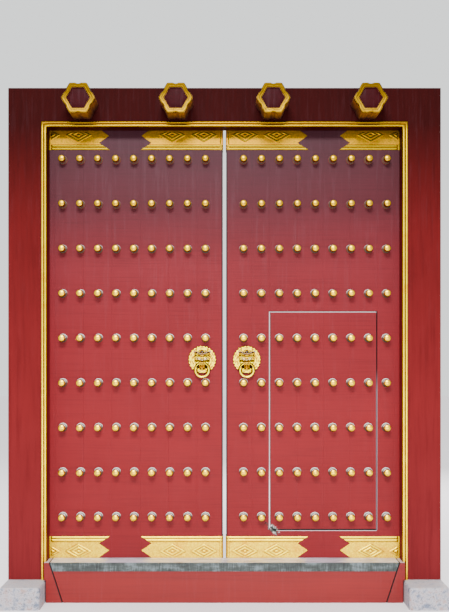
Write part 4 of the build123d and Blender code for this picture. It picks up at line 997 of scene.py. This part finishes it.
def addKnocker(name, look):
    # Mask, muzzle and jaw as closed shells in one mesh, and the ring, a torus, as another
    low, high = nodeBox(name + "_ring")
    middle = (low[0] + high[0]) / 2
    ringLevel = (low[2] + high[2]) / 2
    ringY = (low[1] + high[1]) / 2
    level = ringLevel + look["ringDrop"]
    leaf = ringY + look["ringStand"]
    body = name + "_leaf"
    # mask: a round grid of heights, closed by a flat back
    angle = roundTurn(look["angles"])
    rim = look["rim"] + look["lobe"] * np.abs(np.cos(angle * look["scallops"] / 2)) ** 0.8
    share = np.linspace(0, 1, look["rings"])[:, None]
    u = rim * share * np.cos(angle)
    v = rim * share * np.sin(angle)
    height = maskRelief(u, v, rim, look)
    padded = np.pad(height, ((0, 0), (12, 12)), mode="wrap")
    # painted shade in the mask's hollows
    hollow = np.maximum(hollowness(padded, 8, 1.1)[:, 12:-12], maskShade(u, v, look))
    silver = [maskWearAndHighlight(u, v).ravel(), np.zeros(2 * look["angles"])]
    front = np.stack([middle + u, leaf - height, level + v], -1)
    back = np.stack([middle + u[[-1, 0]], leaf + 0.2 + 0 * u[[-1, 0]], level + v[[-1, 0]]], -1)
    grid = np.concatenate([front, back])
    rows, columns = grid.shape[:2]
    points = [grid.reshape(-1, 3)]
    quads = [gridQuads(rows, columns, closedColumns=True)]
    hollows = [np.concatenate([hollow, 0 * hollow[:2]]).ravel()]
    # muzzle: a barrel across the face, its bore round the ring, its back sunk in the mask
    boreTop = ringLevel + look["ringRadius"] + look["ringBar"]
    boreFoot = ringLevel + ((look["ringRadius"] - look["ringBar"]) ** 2 - look["muzzleHalf"] ** 2) ** 0.5
    bore = (boreTop - boreFoot) / 2 + 0.5
    boreLevel = (boreTop + boreFoot) / 2
    turn = roundTurn(96)
    across = np.linspace(-1, 1, 41)[:, None]
    lips = (1.6 * np.cos(across * pi * 2.5) + 1.3 * np.cos(turn * 9)) * np.clip(np.cos(turn), 0, 1)
    outer = (bore + look["muzzleWall"] - 1.5) * (1 - 0.12 * np.abs(across) ** 6) + lips
    depth = np.where(np.cos(turn) > 0, outer, 30)
    x = middle + look["muzzleHalf"] * across + 0 * turn
    outside = np.stack([x, ringY - depth * np.cos(turn), boreLevel + outer * np.sin(turn)], -1)
    inside = np.stack([x[::-1], ringY - bore * np.cos(turn) + 0 * across,
                       boreLevel + bore * np.sin(turn) + 0 * across], -1)
    grid = np.concatenate([outside, inside])
    points.append(grid.reshape(-1, 3))
    quads.append(gridQuads(*grid.shape[:2], True, True))
    # painted shade in the lips' grooves, darker over the muzzle's lower half, and black inside its bore
    chops = np.clip((-lips - 0.4) * 0.9, 0, 0.9)
    patches = np.where(np.sin(turn) < -0.12, 0.55, 0.30) + 0.16 * np.cos(across * 9 + 2 * turn)
    chops = np.maximum(chops, patches)
    hollows.append(np.concatenate([chops, 1 + 0 * chops]).ravel())
    # lower jaw: a rounded lip and chin that stay inside the ring, with teeth and two fangs
    for spot, size in look["jaw"] + look["fangs"]:
        points.append(blob((middle, leaf, level), spot, size))
        quads.append(gridQuads(25, 40, closedColumns=True))
        # painted shade over the lip, chin and teeth, the dark of the open mouth, none on the fangs
        dark = np.interp(level - points[-1][:, 2], (60, 74, 79, 83), (0.45, 0.5, 0.9, 0.0))
        hollows.append(dark * ((spot, size) in look["jaw"]))
    silver.append(np.zeros(sum(len(part) for part in points[1:])))
    starts = np.cumsum([0] + [len(part) for part in points[:-1]])
    quads = np.concatenate([part + start for part, start in zip(quads, starts)])
    addPiece(name + "BeastMask", np.concatenate(points), quads, knockerGilt, body,
             [name + "_knocker_plate"], np.concatenate(hollows), 75, np.concatenate(silver))
    # ring: a torus, a little thinner and wider than its bar, so its outer size is the node's
    around = roundTurn(144)[:, None]
    tube = roundTurn(36)
    thick = look["ringBar"] - look["ringThinner"] + 0 * around
    reach = look["ringRadius"] + look["ringWider"] + thick * np.cos(tube)
    ring = np.stack([middle + reach * np.sin(around), ringY - thick * np.sin(tube),
                     ringLevel + reach * np.cos(around)], -1)
    # bright in front, with painted shade at its sides and where it leaves the jaws
    sides = 0.8 * np.clip((np.abs(np.cos(tube)) - 0.6) / 0.3, 0, 1) + 0 * around
    mouthShade = 1.0 * (np.cos(tube) < 0.05) * np.clip(np.cos(around) - 0.3, 0, 0.3) / 0.3
    addPiece(name + "KnockerRing", ring.reshape(-1, 3), gridQuads(144, 36, True, True), ringGilt,
             name + "_ring", [name + "_ring"], np.maximum(sides, mouthShade).ravel(), 75)


def blob(origin, spot, size):
    # Ellipsoid: latitude by longitude, scaled along the three axes; spot gives across, out and up
    latitude = np.linspace(-pi / 2, pi / 2, 25)[:, None]
    longitude = roundTurn(40)
    x = origin[0] + spot[0] + size[0] * np.cos(latitude) * np.cos(longitude)
    y = origin[1] - spot[1] - size[1] * np.cos(latitude) * np.sin(longitude)
    z = origin[2] + spot[2] + size[2] * np.sin(latitude) + 0 * longitude
    return np.stack([x, y, z], -1).reshape(-1, 3)


for name in ("left", "right"):
    addKnocker(name, maskLook)
print("knockers made")


# Floor and studio lights
studio = {
    "floor": "fdf6f8", "sky": "f3f6f6", "skyStrength": 1.45,
    "lights": (
        {"name": "key", "place": (-0.6, -9.5, 8.6), "aim": (0, 0, 1.2), "size": (3.6, 1.8), "power": 2100},
        {"name": "fill", "place": (0.5, -9.0, 0.7), "aim": (0, 0, 1.0), "size": (5.0, 1.2), "power": 300},
        {"name": "back", "place": (2.5, 8.0, 5.0), "aim": (0, 0, 1.8), "size": (4.0, 3.0), "power": 700},
    ),
}


def addStudio(look):
    # A flat floor, an even sky, and soft rectangular lights that are turned to what they light
    mesh = bpy.data.meshes.new("floor")
    mesh.from_pydata([(-40, -40, 0), (40, -40, 0), (40, 40, 0), (-40, 40, 0)], [], [(0, 1, 2, 3)])
    floor = bpy.data.objects.new("floor", mesh)
    bpy.context.collection.objects.link(floor)
    material = newMaterial("pale floor", {"Base Color": linear(look["floor"]), "Roughness": 0.8})[0]
    mesh.materials.append(material)
    world = bpy.data.worlds.new("studio")
    bpy.context.scene.world = world
    world.use_nodes = True
    sky = world.node_tree.nodes["Background"]
    sky.inputs[0].default_value = linear(look["sky"])
    sky.inputs[1].default_value = look["skyStrength"]
    for each in look["lights"]:
        data = bpy.data.lights.new(each["name"], "AREA")
        data.shape = "RECTANGLE"
        data.size, data.size_y = each["size"]
        data.energy = each["power"]
        light = bpy.data.objects.new(each["name"], data)
        light.location = each["place"]
        light.rotation_euler = (Vector(each["aim"]) - light.location).to_track_quat("-Z", "Y").to_euler()
        bpy.context.collection.objects.link(light)


addStudio(studio)
print("studio made")
